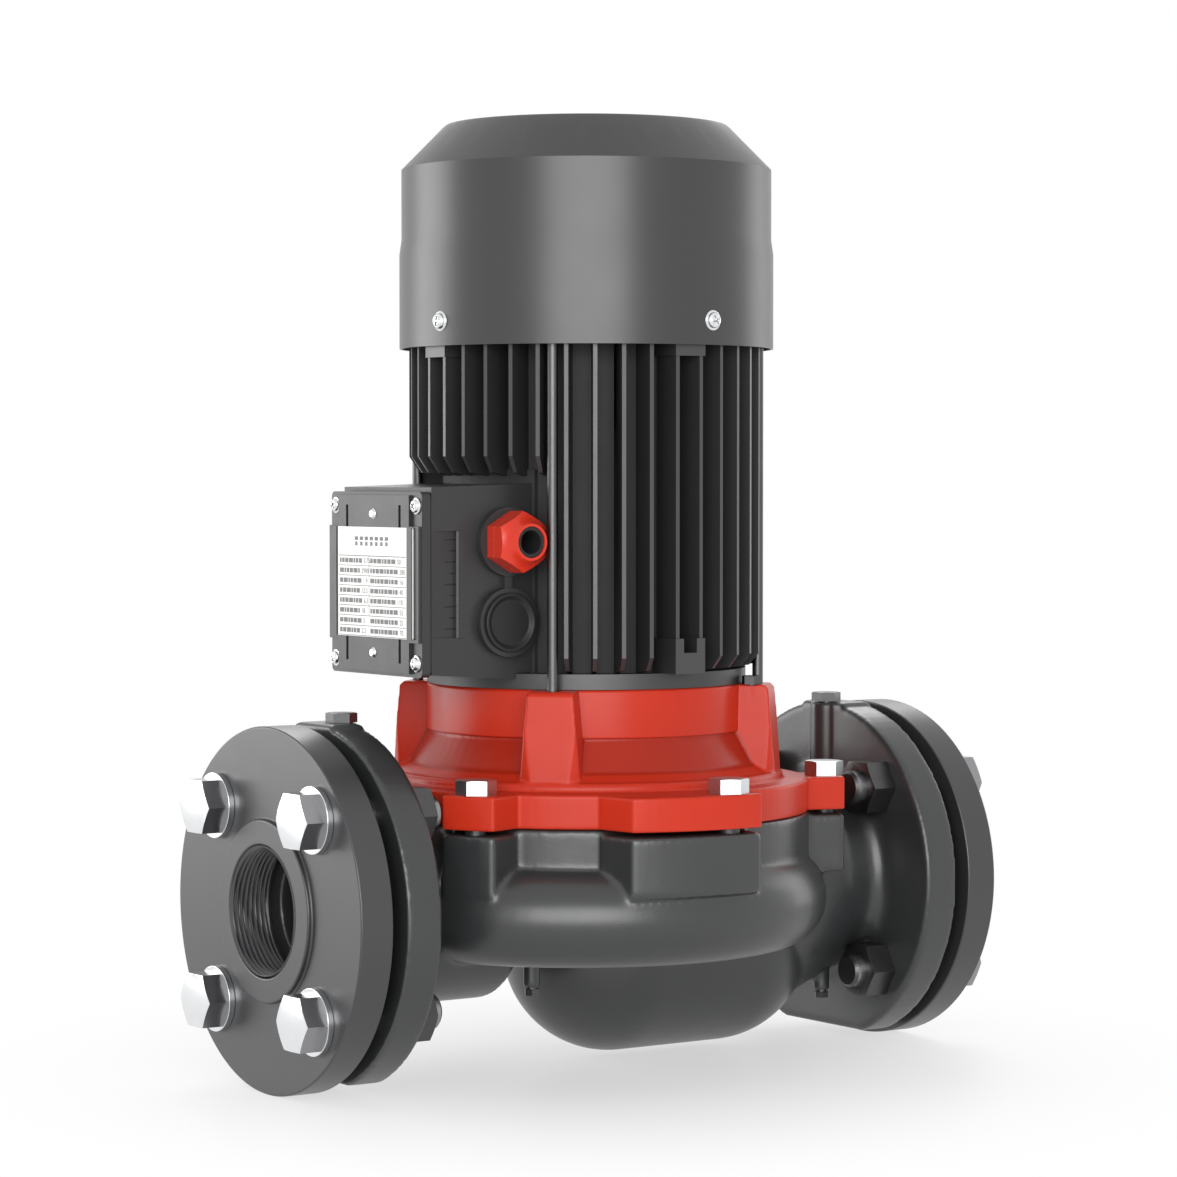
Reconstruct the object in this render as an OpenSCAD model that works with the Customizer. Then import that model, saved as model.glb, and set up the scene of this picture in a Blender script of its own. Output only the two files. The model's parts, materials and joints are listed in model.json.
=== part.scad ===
// Inline circulation pump: flanged volute casing, lantern bracket and finned motor on one upright shaft.
// Millimetres, +Z up along the shaft. The origin lies under the middle of the pipe run, at floor level.

/* [Pipe flanges] */
// Outside diameter of the pipe flanges
flange_d = 165; // [150:1:185]
// Bolt circle of the pipe flanges
flange_pcd = 125; // [115:1:135]
// Thread diameter of the pipe flange bolts
flange_bolt_d = 16; // [12:1:18]
// Thickness of the threaded counter flanges
counter_t = 16.3; // [12:0.1:24]
// Thickness of the flanges cast on the pump casing
pump_flange_t = 17.9; // [14:0.1:24]
// Diameter of the raised sealing faces
raised_d = 102; // [90:1:104]
// Height of the raised sealing faces
raised_h = 2.5; // [1:0.1:4]
// Thickness of the flange gaskets
gasket_t = 2.4; // [1:0.1:4]
// Diameter of the pipe thread in the counter flanges
port_d = 59.6; // [48:0.1:66]
// Bore of the water passages in the casing
passage_d = 50; // [40:1:56]
// Motor axis to the outer face of the outlet counter flange
outlet_reach = 172.6; // [165:0.1:200]
// Motor axis to the outer face of the inlet counter flange
inlet_reach = 182; // [175:0.1:210]

/* [Volute casing] */
// Outside radius of the ducts
duct_r = 47; // [42:0.5:52]
// Radius of the ring that carries the bracket
seat_ring_r = 104.5; // [98:0.5:108]
// Height of the joint face above the pipe axis
joint_z = 37; // [32:0.5:44]
// Radius of the bolting lobes
lobe_r = 121.7; // [118:0.1:128]
// Height of the lower face of the bolting lobes
lobe_bottom_z = 7.6; // [2:0.1:14]
// Relief of the lobes below the joint face
lobe_relief = 2; // [1:0.1:4]
// Distance of the casing bolts from the tips of the lobes
cover_bolt_inset = 8.7; // [7:0.1:11]
// Thread diameter of the casing bolts
cover_bolt_d = 10; // [8:1:12]
// Radius from the volute centre to the middle of the scroll section
scroll_r = 94; // [88:0.5:98]
// Radius of the scroll section
scroll_tube_r = 22; // [18:0.5:24]
// Wall of the casting
wall = 6; // [4:0.5:8]

/* [Impeller] */
// Outside diameter of the impeller
impeller_d = 146; // [120:1:150]
// Diameter of the impeller eye
eye_d = 62; // [50:1:66]
// Water channel height between the shrouds
vane_h = 9; // [6:0.5:12]
// Thickness of the vanes
vane_t = 3; // [2:0.1:5]
// Number of vanes
vanes = 6; // [4:1:8]

/* [Bracket] */
// Thickness of the bracket flange
bracket_flange_t = 15.4; // [12:0.1:20]
// Height of the bracket top face above the pipe axis
bracket_top_z = 97.5; // [92:0.5:110]
// Outside radius of the upper ring
bracket_r = 74; // [70:0.5:78]
// Distance of the pylon faces from the axis at the top
pylon_reach = 88; // [86:0.5:92]
// Half width of the pylons at the top
pylon_half_w = 10.5; // [9:0.5:12]

/* [Motor] */
// Outside radius of the motor barrel
barrel_r = 66; // [62:0.5:70]
// Radius of the fin tips
fin_tip_r = 83.2; // [80:0.1:84]
// Number of fins round the barrel
fins = 40; // [32:4:44]
// Thickness of a fin
fin_t = 1.9; // [1.4:0.1:2.6]
// Length of the motor frame
frame_len = 160; // [150:1:180]
// Outside radius of the stator core
stator_r = 58; // [54:0.5:60]
// Radius of the rotor core
rotor_r = 35.7; // [32:0.1:38]
// Length of the stator and rotor cores
core_len = 78; // [60:1:90]
// Shaft diameter at the bearings
bearing_bore = 20; // [17:1:25]
// Outside diameter of the bearings
bearing_d = 47; // [42:1:52]
// Width of the bearings
bearing_w = 14; // [12:1:16]
// Circle radius of the tie bolts
tie_r = 81.5; // [80:0.1:83]
// Thread diameter of the tie bolts
tie_d = 5; // [4:0.5:6]

/* [Fan and cowl] */
// Lower outside radius of the fan cowl
cowl_r = 87.8; // [86:0.1:92]
// Sheet thickness of the fan cowl
cowl_t = 1.2; // [0.8:0.1:2]
// Lower rim of the cowl above the pipe axis
cowl_bottom_z = 253.4; // [245:0.1:260]
// Height of the cowl
cowl_h = 104.4; // [95:0.1:120]
// Radius of the flat top of the cowl
cowl_top_r = 66; // [58:0.5:72]
// Outside diameter of the cooling fan
fan_d = 150; // [120:1:160]
// Number of fan blades
fan_blades = 9; // [5:1:13]

/* [Terminal box] */
// Distance from the motor axis to the front of the cover
box_reach = 117; // [112:0.5:126]
// Width of the cover
cover_w = 79; // [70:0.5:84]
// Height of the cover
cover_h = 83; // [76:0.5:90]
// Centre height of the cover above the pipe axis
box_mid_z = 145.5; // [140:0.5:152]
// Depth of the cover
cover_t = 6; // [4:0.5:9]
// Wall of the box
box_wall = 3; // [2:0.25:4]
// Hexagon of the cable gland
gland_af = 24.2; // [20:0.1:27]
// Bore of the cable gland insert
gland_bore = 10.8; // [8:0.2:13]

/* [Hidden] */
$fn = 64;

// Colours
dark_paint = "#4a4b4c";
cowl_paint = "#5a5b5c";
red_paint = "#d8362a";
zinc = "#c9ccce";
steel = "#9a9ea2";
rubber = "#1d1d1f";
plate_white = "#f1f1ee";
copper = "#b8692e";
brass = "#c8a24b";

// Clearances
thread_gap = 0.06;
slide_gap = 0.05;
bolt_gap = 1;
eps = 0.02;

// Turned corners of the hexagons
corner_fall = 0.25;
corner_rim = 0.25;

// Pipe run: the motor axis stands off its middle because the two ports reach out unequally,
// and both ports keep their bolts clear of the lobes
pipe_z = flange_d / 2;
joint_t = 2 * raised_h + gasket_t;
flange_nut_h = 0.8 * flange_bolt_d;
bolt_tail = 6;
tail_gap = 1;
lobe_half_w = 12.3;
lobe_x = lobe_r * cos(30 - asin(lobe_half_w / lobe_r));
least_reach = lobe_x + tail_gap + bolt_tail + flange_nut_h + pump_flange_t + joint_t + counter_t;
outlet_run = max(outlet_reach, least_reach);
inlet_run = max(inlet_reach, least_reach);
motor_x = (outlet_run - inlet_run) / 2;
inlet_side = 1;
outlet_side = -1;
casing_inlet_x = inlet_run - counter_t - joint_t;
casing_outlet_x = outlet_run - counter_t - joint_t;
bolt_angles = [45, 135, 225, 315];
flange_bottom_cut = 6;
pad_half_w = 16;
pad_rise = 0.5;
hub_h = 2.5;
hub_r = 41;
washer_t = 3;
gasket_set_back = 2;
washer_d = 30;
spot_gap = 0.4;
spot_h = 20;
neck_fillet_r = 8;
flange_af = 1.5 * flange_bolt_d;
flange_head_h = 0.62 * flange_bolt_d;
plug_d = 10;
plug_af = 12.5;
plug_boss_d = 16;
plug_head_h = 4.4;
plug_inset = 2.8;
plug_places = [casing_inlet_x - pump_flange_t + plug_inset, -casing_outlet_x + pump_flange_t - plug_inset];

// Volute casing
cover_bolt_r = lobe_r - cover_bolt_inset;
scroll_z = -3;
scroll_shift = 7;
scroll_shift_az = -150;
spigot_r = 91;
spigot_h = 10;
chamber_r = impeller_d / 2 + 6;
suction_r = 50;
suction_x = 12;
suction_z = -28;
suction_run = 58;
casing_bolt_az = [-150, -90, -30, 30, 90, 150];
casing_bolt_depth = 24;
lobe_root_w = 18.6;
wide_lobe_w = 48;
lobe_root_depth = 14;
floor_r = scroll_r - 4;
duct_root_x = scroll_r - 30;
neck_root_x = suction_x + suction_run - 8;
suction_wall = wall + 2;

// Heights on the shaft, above the pipe axis
impeller_bottom = -12;
shroud_t = 3;
impeller_top = impeller_bottom + 2 * shroud_t + vane_h;
hub_top = impeller_top + 6;
eye_ring_h = 9;
impeller_bore = 16;
impeller_hub_r = 15;
seal_head_z = hub_top;
seal_spring_z = seal_head_z + 3;
seal_face_z = joint_z + 1;
seat_t = 8;
seal_r = 17;
slinger_z = 62;
bearing_low_z = 78;
frame_z = bracket_top_z;
frame_top = frame_z + frame_len;
shield_t = 10;
shield_top = frame_top + shield_t;
bearing_high_z = shield_top - bearing_w - 2;
core_z = frame_z + 28;
rotor_shaft_r = bearing_bore / 2 + 3;
fan_seat_r = bearing_bore / 2 - 2;
fan_z = shield_top + 8;
fan_hub_h = 18;
shaft_top = fan_z + fan_hub_h + 6;
shaft_bottom = impeller_bottom - 8;
air_gap = 0.4;
balls = 8;
ball_r = (bearing_d - bearing_bore) / 2 * 0.3;
race_t = (bearing_d - bearing_bore) / 2 * 0.34;
ball_track_r = (bearing_bore + bearing_d) / 4;

// Motor and box
spigot_in_r = 62;
barrel_ring_r = bracket_r + 1;
box_seat_r = barrel_r + 1.5;
fin_foot_z = frame_z + 7;
pylon_az = [45, 135, 225, 315];
tie_head_af = 8;
tie_head_h = 3.5;
tie_depth = 24;
box_front_x = -box_reach;
box_body_w = cover_w - 3;
box_body_top = box_mid_z + cover_h / 2 + 2;
box_body_bottom = box_mid_z - cover_h / 2 - 1;
box_back_x = -50;
box_gasket_t = 1.5;
box_lip_x = box_front_x + cover_t;
entry_gap = 4.4;
tie_x = tie_r * cos(45);
entry_x = -max(barrel_r + entry_gap, tie_x + (tie_d + gland_af) / 2 - 2);
gland_z = box_mid_z + 19;
blank_z = box_mid_z - 17.5;
entry_thread_d = 20;
entry_boss_r = 15.6;
entry_boss_h = 4;
boss_face_y = box_body_w / 2 + entry_boss_h;
cover_screw_dy = cover_w / 2 - 4.5;
cover_screw_dz = cover_h / 2 - 6.3;
cover_screw_d = 4;
plate_w = 70;
plate_h = 50;
plate_t = 0.8;
rivet_dz = 31.5;
cowl_screw_az = [6.5, 96.5, 186.5, 276.5];
cowl_step_h = 50;
cowl_shoulder_h = 83.6;
cowl_upper_r = cowl_r - 1;
cowl_top_z = cowl_bottom_z + cowl_h;

// Details of the water end
plug_depth = 11;
plug_seat_z = flange_d / 2 + pad_rise;
floor_z = scroll_z - scroll_tube_r;
neck_x = 122;
chamber_floor = -18;
cover_gasket_t = 1.5;
throat_half_h = 6;
throat_x = scroll_r - 6;
throat_len = 18;
throat_d = passage_d - 18;
running_gap = 0.35;
head_room = 1.5;
wear_ring_r = eye_d / 2 + 4.5;
wear_ring_h = 8;
drain_places = [[-54, -35, -40], [125, -20, -57]];
drain_boss_d = 8;
drain_boss_h = 24;
drain_d = 5;
drain_depth = 26;
drain_af = 6;
drain_head_h = 3;
hub_bottom = impeller_bottom + 6;
vane_steps = 14;
vane_r_in = 30;
vane_sweep = 95;
vane_lean = 48;
key_w = 5;
key_rise = 2.2;
key_len = 12;
shaft_thread_d = 12;
lock_washer_t = 2;
lock_washer_r = impeller_hub_r - 3;
seat_bore_r = bearing_bore / 2 + 1.2;
slinger_hub_h = 5;
slinger_hub_t = 3;
slinger_lip = 11;
slinger_lip_t = 1.6;
lock_nut_h = 10;
lock_nut_af = 18;
seal_spring_h = 12;
seal_head_h = seal_face_z - seal_spring_z - seal_spring_h;
seal_carbon_h = 8;
coil_r = 12.6;
coil_wire = 1.8;
coil_turns = 3;
coil_sides = 8;
coil_steps = 60;

// Details of the bracket and motor
base_ring_r = 92.5;
lantern_z = 46;
lantern_r = 60;
lantern_roof_t = 8;
base_ring_h = 4.1;
upper_ring_h = 22;
flare_rise = 7.5;
pylon_top_gap = 0.3;
register_h = 4;
register_t = 5;
bearing_wall = 5;
earth_az = -51;
earth_r = 80.3;
earth_d = 4;
earth_len = 10;
end_ring_h = 5;
rotor_lug_h = 8;
rotor_lug_w = 8;
rotor_lug_t = 2;
winding_h = 15;
slots = 24;
slot_w = 4.5;
wave_t = 1;
cap_t = 3;
shield_r = barrel_r + 6;
tie_lug_w = 12;
screw_lug_w = 14;
pad_w = 16.4;
lead_d = 12;
lead_run = 14;
lead_z = box_mid_z - 26;
cowl_screw_z = frame_top + 7;
cowl_screw_d = 5;
clip_t = 1.2;
clip_gap = 0.4;
fan_blade_h = 34;
fan_blade_t = 2.4;
fan_disc_t = 2.5;
fan_hub_r = fan_seat_r + 7;
vent_first_r = 14;
vent_pitch = 7;
vent_w = 4;
spoke_w = 4;

// Details of the terminal box
box_clear_angle = 42;
cover_pad_h = 1.6;
side_strip_x = -box_reach + 21.7;
strip_w = 1.8;
strip_h = 48;
web_w = 4;
web_h = 3;
box_clearance = 0.3;
cover_screw_len = 16;
cover_screw_head_h = 1.3;
cover_screw_dome_h = 1;
groove_y = 23;
groove_w = 2;
groove_deep = 1.2;
rivet_d = 3;
gland_hex_h = 5.6;
gland_cap_h = 12.1;
gland_cap_flat = 6.4;
gland_seal_in = 3;
gland_seal_back = 0.6;
gland_thread_len = 9;
gland_neck_d = gland_af - 8;
gland_neck_h = 7;
cap_gap = 0.3;
board_x = -86;
board_w = 44;
board_h = 42;
board_t = 5;
board_foot_w = 12;
stud_d = 4;
stud_rise = 9;
stud_len = 13.5;
stud_nut_h = 3.2;

// Places children on the motor axis at pipe height
module on_axis() {
    translate([motor_x, 0, pipe_z]) children();
}

// Lays a shape drawn along +Z so that it runs along +X (side 1) or -X (side -1)
module along_pipe(side) {
    rotate([0, 90 * side, 0]) children();
}

module ring(r_out, r_in, h) {
    difference() {
        cylinder(r = r_out, h = h);
        translate([0, 0, -1]) cylinder(r = r_in, h = h + 2);
    }
}

module hexagon(af, h) {
    cylinder(d = af / cos(30), h = h, $fn = 6);
}

// Hexagon with both ends of its corners turned off
module turned_hexagon(af, h, top = true, bottom = false) {
    corner = af / cos(30) / 2;
    fall = (corner - af / 2) * corner_fall + corner_rim;
    intersection() {
        hexagon(af, h);
        rotate_extrude() polygon([
            [0, 0], [bottom ? af / 2 : corner + 1, 0], [corner + 1, bottom ? fall : 0],
            [corner + 1, top ? h - fall : h], [top ? af / 2 : corner + 1, h], [0, h]]);
    }
}

// Bolt with its head below z = 0 and its shank rising from there
module hex_bolt(d, len, af, head_h) {
    translate([0, 0, -head_h]) turned_hexagon(af, head_h, false, true);
    cylinder(d = d, h = len - d / 12);
    translate([0, 0, len - d / 12]) cylinder(r1 = d / 2, r2 = d / 2 - d / 12, h = d / 12, $fn = 48);
}

module hex_nut(d, h, af) {
    difference() {
        turned_hexagon(af, h, true, true);
        translate([0, 0, -1]) cylinder(r = d / 2 + thread_gap, h = h + 2);
    }
}

// Copies children onto the four bolt places of a pipe flange drawn along +Z
module at_flange_bolts() {
    for (a = bolt_angles) rotate([0, 0, a]) translate([flange_pcd / 2, 0, 0]) rotate([0, 0, -a]) children();
}

// Rounded rectangle centred on the origin
module rounded_rect(w, h, r) {
    square([w - 2 * r, h], center = true);
    square([w, h - 2 * r], center = true);
    for (sx = [-1, 1], sy = [-1, 1])
        translate([sx * (w / 2 - r), sy * (h / 2 - r)]) circle(r = r, $fn = 32);
}

// Concave fillet where a round neck of radius r meets a plate at z = 0, growing up to z = size
module neck_fillet(r, size) {
    rotate_extrude() difference() {
        translate([r - 1, -0.5]) square([size + 1, size + 0.5]);
        translate([r + size, size]) circle(r = size, $fn = 48);
    }
}

// Pipe flanges and their fasteners

// Flange cast on the casing, drawn from its rear face at z = 0 with the raised face on top
module pump_flange() {
    difference() {
        union() {
            cylinder(d = flange_d, h = pump_flange_t, $fn = 128);
            cylinder(d = raised_d, h = pump_flange_t + raised_h);
            mirror([0, 0, 1]) neck_fillet(duct_r, neck_fillet_r);
        }
        at_flange_bolts() translate([0, 0, -1])
            cylinder(d = flange_bolt_d + bolt_gap, h = pump_flange_t + 2);
        // spot faces that let the nuts seat beside the neck
        at_flange_bolts() translate([0, 0, -spot_h]) cylinder(d = washer_d + 2 * spot_gap, h = spot_h);
    }
}

// Threaded flange, drawn from its raised sealing face at z = 0 outwards
module counter_flange() {
    difference() {
        union() {
            translate([0, 0, raised_h]) cylinder(d = flange_d, h = counter_t, $fn = 128);
            cylinder(d = raised_d, h = raised_h + eps);
            translate([0, 0, raised_h + counter_t - eps]) cylinder(r = hub_r, h = hub_h + eps);
        }
        translate([0, 0, -1]) cylinder(d = port_d, h = counter_t + raised_h + hub_h + 2);
        at_flange_bolts() translate([0, 0, raised_h - 1])
            cylinder(d = flange_bolt_d + bolt_gap, h = counter_t + 2);
    }
}

module place_counter(side, reach) {
    on_axis() along_pipe(side) translate([0, 0, reach - counter_t - raised_h]) children();
}

module inlet_counter_flange() {
    color(dark_paint) place_counter(inlet_side, inlet_run) counter_flange();
}

module outlet_counter_flange() {
    color(dark_paint) place_counter(outlet_side, outlet_run) counter_flange();
}

module flange_gasket() {
    difference() {
        cylinder(d = raised_d, h = gasket_t);
        translate([0, 0, -1]) cylinder(d = port_d + gasket_set_back, h = gasket_t + 2);
    }
}

module inlet_gasket() {
    color(rubber) on_axis() along_pipe(inlet_side) translate([0, 0, casing_inlet_x + raised_h])
        flange_gasket();
}

module outlet_gasket() {
    color(rubber) on_axis() along_pipe(outlet_side) translate([0, 0, casing_outlet_x + raised_h])
        flange_gasket();
}

// Four bolts drawn with their heads at z = 0 side, shanks running down to the nut
module flange_bolt_set(reach) {
    grip = washer_t + counter_t + joint_t + pump_flange_t;
    on_axis_z = reach + washer_t;
    at_flange_bolts() translate([0, 0, on_axis_z]) mirror([0, 0, 1]) rotate([0, 0, 30])
        hex_bolt(flange_bolt_d, grip + flange_nut_h + bolt_tail, flange_af, flange_head_h);
}

module flange_washer_set(reach) {
    at_flange_bolts() translate([0, 0, reach]) ring(washer_d / 2, flange_bolt_d / 2 + 0.5, washer_t);
}

module flange_nut_set(flange_x) {
    at_flange_bolts() translate([0, 0, flange_x - pump_flange_t - flange_nut_h]) rotate([0, 0, 30])
        hex_nut(flange_bolt_d, flange_nut_h, flange_af);
}

module inlet_flange_bolts() {
    color(zinc) on_axis() along_pipe(inlet_side) flange_bolt_set(inlet_run);
}

module outlet_flange_bolts() {
    color(zinc) on_axis() along_pipe(outlet_side) flange_bolt_set(outlet_run);
}

module inlet_flange_washers() {
    color(zinc) on_axis() along_pipe(inlet_side) flange_washer_set(inlet_run);
}

module outlet_flange_washers() {
    color(zinc) on_axis() along_pipe(outlet_side) flange_washer_set(outlet_run);
}

module inlet_flange_nuts() {
    color(zinc) on_axis() along_pipe(inlet_side) flange_nut_set(casing_inlet_x);
}

module outlet_flange_nuts() {
    color(zinc) on_axis() along_pipe(outlet_side) flange_nut_set(casing_outlet_x);
}

// Screwed plug for a gauge on the top pad of a flange
module gauge_plug() {
    translate([0, 0, plug_seat_z]) {
        rotate([0, 0, 30]) turned_hexagon(plug_af, plug_head_h, true, false);
        translate([0, 0, -plug_depth]) cylinder(d = plug_d, h = plug_depth + eps);
    }
}

module inlet_gauge_plug() {
    color(zinc) on_axis() translate([plug_places[0], 0, 0]) gauge_plug();
}

module outlet_gauge_plug() {
    color(zinc) on_axis() translate([plug_places[1], 0, 0]) gauge_plug();
}

// Volute casing

// Sector of the flange outline round one bolting lobe; half widths at the tip on both sides
module lobe_outline(left, right) {
    flare = lobe_root_w - lobe_half_w;
    root_r = seat_ring_r - lobe_root_depth;
    intersection() {
        circle(r = lobe_r, $fn = 128);
        polygon([
            [root_r, -right - flare], [lobe_r + 2, -right], [lobe_r + 2, left], [root_r, left + flare]]);
    }
}

// Outlines of the six lobes of the bolted joint, two of them widened over the drain ways
module lobes_outline() {
    for (a = casing_bolt_az) rotate(a) {
        wide = abs(a) == 90;
        lobe_outline(lobe_half_w, wide ? wide_lobe_w : lobe_half_w);
    }
}

module at_casing_bolts() {
    for (a = casing_bolt_az) rotate([0, 0, a]) translate([cover_bolt_r, 0, 0]) children();
}

// Ring of the scroll; its centre is shifted so that the section swells towards the outlet
module scroll_ring(tube_r) {
    shift_x = scroll_shift * cos(scroll_shift_az);
    shift_y = scroll_shift * sin(scroll_shift_az);
    translate([shift_x, shift_y, scroll_z]) rotate_extrude($fn = 96)
        translate([scroll_r, 0]) circle(r = tube_r);
}

// Suction bend below the scroll: a round-ended barrel lying along the pipe
module suction_barrel(r, run) {
    translate([suction_x, 0, suction_z]) rotate([0, 90, 0]) rotate_extrude() intersection() {
        translate([0, -r - 1]) square([r + 1, run + 2 * r + 2]);
        union() {
            circle(r = r);
            translate([0, run]) circle(r = r);
            translate([-r, 0]) square([2 * r, run]);
        }
    }
}

// Slanting duct from the suction barrel up to the inlet flange
module suction_neck(r_low, r_high, x_high) {
    rise = -suction_z;
    run = x_high - neck_root_x;
    translate([neck_root_x, 0, suction_z]) rotate([0, atan2(run, rise), 0])
        cylinder(r1 = r_low, r2 = r_high, h = norm([run, rise]));
}

module casing_body() {
    translate([0, 0, scroll_z]) cylinder(r = seat_ring_r, h = joint_z - scroll_z, $fn = 128);
    translate([0, 0, lobe_bottom_z]) linear_extrude(joint_z - lobe_relief - lobe_bottom_z) lobes_outline();
    scroll_ring(scroll_tube_r);
    translate([0, 0, floor_z]) cylinder(r = floor_r, h = scroll_z - floor_z + eps);
    along_pipe(outlet_side) translate([0, 0, duct_root_x])
        cylinder(r = duct_r, h = casing_outlet_x - duct_root_x - 1);
    along_pipe(outlet_side) translate([0, 0, casing_outlet_x - pump_flange_t]) pump_flange();
    along_pipe(inlet_side) translate([0, 0, neck_x])
        cylinder(r = duct_r, h = casing_inlet_x - neck_x - 1);
    along_pipe(inlet_side) translate([0, 0, casing_inlet_x - pump_flange_t]) pump_flange();
    suction_barrel(suction_r, suction_run);
    suction_neck(suction_r - 1.5, duct_r - 0.5, neck_x + 6);
    for (x = plug_places)
        translate([x, 0, duct_r - wall])
            cylinder(d = plug_boss_d, h = flange_d / 2 - duct_r + wall + pad_rise);
    for (x = [casing_inlet_x - pump_flange_t, -casing_outlet_x])
        translate([x, -pad_half_w, flange_d / 2 - 10]) cube([pump_flange_t, 2 * pad_half_w, 10 + pad_rise]);
    for (p = drain_places) translate(p) cylinder(d = drain_boss_d, h = drain_boss_h);
}

module casing_cavities() {
    // room for the bracket flange over the outlet duct
    translate([0, 0, joint_z]) cylinder(r = lobe_r + head_room, h = duct_r);
    // register and chamber of the impeller
    translate([0, 0, joint_z - spigot_h - cover_gasket_t])
        cylinder(r = spigot_r + slide_gap, h = spigot_h + cover_gasket_t + 1, $fn = 128);
    translate([0, 0, chamber_floor]) cylinder(r = chamber_r, h = joint_z - chamber_floor);
    scroll_ring(scroll_tube_r - wall);
    translate([0, 0, scroll_z - throat_half_h]) cylinder(r = scroll_r, h = 2 * throat_half_h);
    // outlet way
    along_pipe(outlet_side) {
        translate([0, 0, throat_x + throat_len]) cylinder(d = passage_d, h = casing_outlet_x);
        translate([0, 0, throat_x]) cylinder(d1 = throat_d, d2 = passage_d - eps, h = throat_len + eps);
    }
    // inlet way, bend and eye
    along_pipe(inlet_side) translate([0, 0, neck_x]) cylinder(d = passage_d, h = casing_inlet_x);
    suction_neck(passage_d / 2 + 0.4, passage_d / 2 + 0.2, neck_x + 4);
    intersection() {
        suction_barrel(suction_r - suction_wall, suction_run);
        translate([-suction_r, -suction_r, floor_z - suction_r])
            cube([4 * suction_r, 2 * suction_r, suction_r - 1]);
    }
    translate([0, 0, floor_z - 4]) cylinder(r = eye_d / 2 - 1, h = chamber_floor - floor_z + 5);
    translate([0, 0, chamber_floor - wear_ring_h]) cylinder(r = wear_ring_r + eps, h = wear_ring_h + 1);
}

module volute_casing() {
    color(dark_paint) on_axis() difference() {
        casing_body();
        casing_cavities();
        at_casing_bolts() translate([0, 0, joint_z - lobe_relief - casing_bolt_depth])
            cylinder(d = cover_bolt_d + 2 * thread_gap, h = casing_bolt_depth + lobe_relief + 1);
        // flat feet of both flanges
        for (x = [casing_inlet_x - pump_flange_t - 1, -casing_outlet_x - raised_h - 1])
            translate([x, -flange_d / 2, -flange_d / 2 - 1])
                cube([pump_flange_t + raised_h + 2, flange_d, flange_bottom_cut + 1]);
        // gauge holes down to the water ways
        for (x = plug_places)
            translate([x, 0, 0]) {
                translate([0, 0, plug_seat_z - plug_depth - 2])
                    cylinder(d = plug_d + 2 * thread_gap, h = plug_depth + 3);
                cylinder(d = plug_d / 2, h = plug_seat_z - plug_depth);
            }
        for (p = drain_places) translate([p[0], p[1], p[2] - 1])
            cylinder(d = drain_d + 2 * thread_gap, h = drain_depth + 1);
    }
}

module drain_plugs() {
    color(zinc) on_axis() for (p = drain_places) translate(p) {
        translate([0, 0, -1]) cylinder(d = drain_d, h = drain_depth - 1);
        translate([0, 0, -drain_head_h]) turned_hexagon(drain_af, drain_head_h, false, true);
    }
}

module casing_gasket() {
    color(rubber) on_axis() translate([0, 0, joint_z - spigot_h - cover_gasket_t])
        ring(spigot_r - 0.4, chamber_r + 1, cover_gasket_t);
}

module wear_ring() {
    color(brass) on_axis() translate([0, 0, chamber_floor - wear_ring_h])
        ring(wear_ring_r, eye_d / 2 + running_gap, wear_ring_h);
}

// Impeller and shaft seal

// Points of one side of a spiral vane
function vane_side(offset) = [for (i = [0:vane_steps])
    let (t = i / vane_steps, r = vane_r_in + (impeller_d / 2 - 0.5 - vane_r_in) * t, a = vane_sweep * t)
    [r * cos(a) - offset * sin(a + vane_lean), r * sin(a) + offset * cos(a + vane_lean)]];

function backwards(list) = [for (i = [len(list) - 1:-1:0]) list[i]];

module impeller() {
    color(brass) on_axis() difference() {
        union() {
            translate([0, 0, impeller_bottom]) cylinder(d = impeller_d, h = shroud_t, $fn = 96);
            translate([0, 0, impeller_bottom - eye_ring_h]) cylinder(d = eye_d, h = eye_ring_h + eps);
            translate([0, 0, impeller_top - shroud_t]) cylinder(d = impeller_d, h = shroud_t, $fn = 96);
            translate([0, 0, hub_bottom]) cylinder(r = impeller_hub_r, h = hub_top - hub_bottom);
            for (i = [0:vanes - 1]) rotate([0, 0, i * 360 / vanes]) translate([0, 0, impeller_bottom + 1])
                linear_extrude(impeller_top - impeller_bottom - 2)
                    polygon(concat(vane_side(vane_t / 2), backwards(vane_side(-vane_t / 2))));
        }
        difference() {
            translate([0, 0, impeller_bottom - eye_ring_h - 1])
                cylinder(d = eye_d - 2 * shroud_t, h = eye_ring_h + shroud_t + 1 + eps);
            translate([0, 0, hub_bottom]) cylinder(r = impeller_hub_r, h = hub_top);
        }
        translate([0, 0, hub_bottom - 1]) cylinder(d = impeller_bore, h = hub_top - hub_bottom + 2);
        translate([0, -key_w / 2, hub_bottom - 1])
            cube([impeller_bore / 2 + key_rise, key_w, hub_top - hub_bottom + 2]);
    }
}

module impeller_key() {
    color(steel) on_axis() translate([impeller_bore / 2 - key_rise, -key_w / 2 + eps, hub_bottom + 1])
        cube([2 * key_rise - eps, key_w - 2 * eps, key_len]);
}

module impeller_washer() {
    color(zinc) on_axis() translate([0, 0, hub_bottom - lock_washer_t])
        ring(lock_washer_r, shaft_thread_d / 2 + slide_gap, lock_washer_t);
}

module impeller_nut() {
    color(zinc) on_axis() translate([0, 0, hub_bottom - lock_washer_t - lock_nut_h])
        hex_nut(shaft_thread_d, lock_nut_h, lock_nut_af);
}

module seal_seat() {
    color("#e9e4d8") on_axis() translate([0, 0, seal_face_z]) ring(seal_r, seat_bore_r, seat_t);
}

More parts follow.
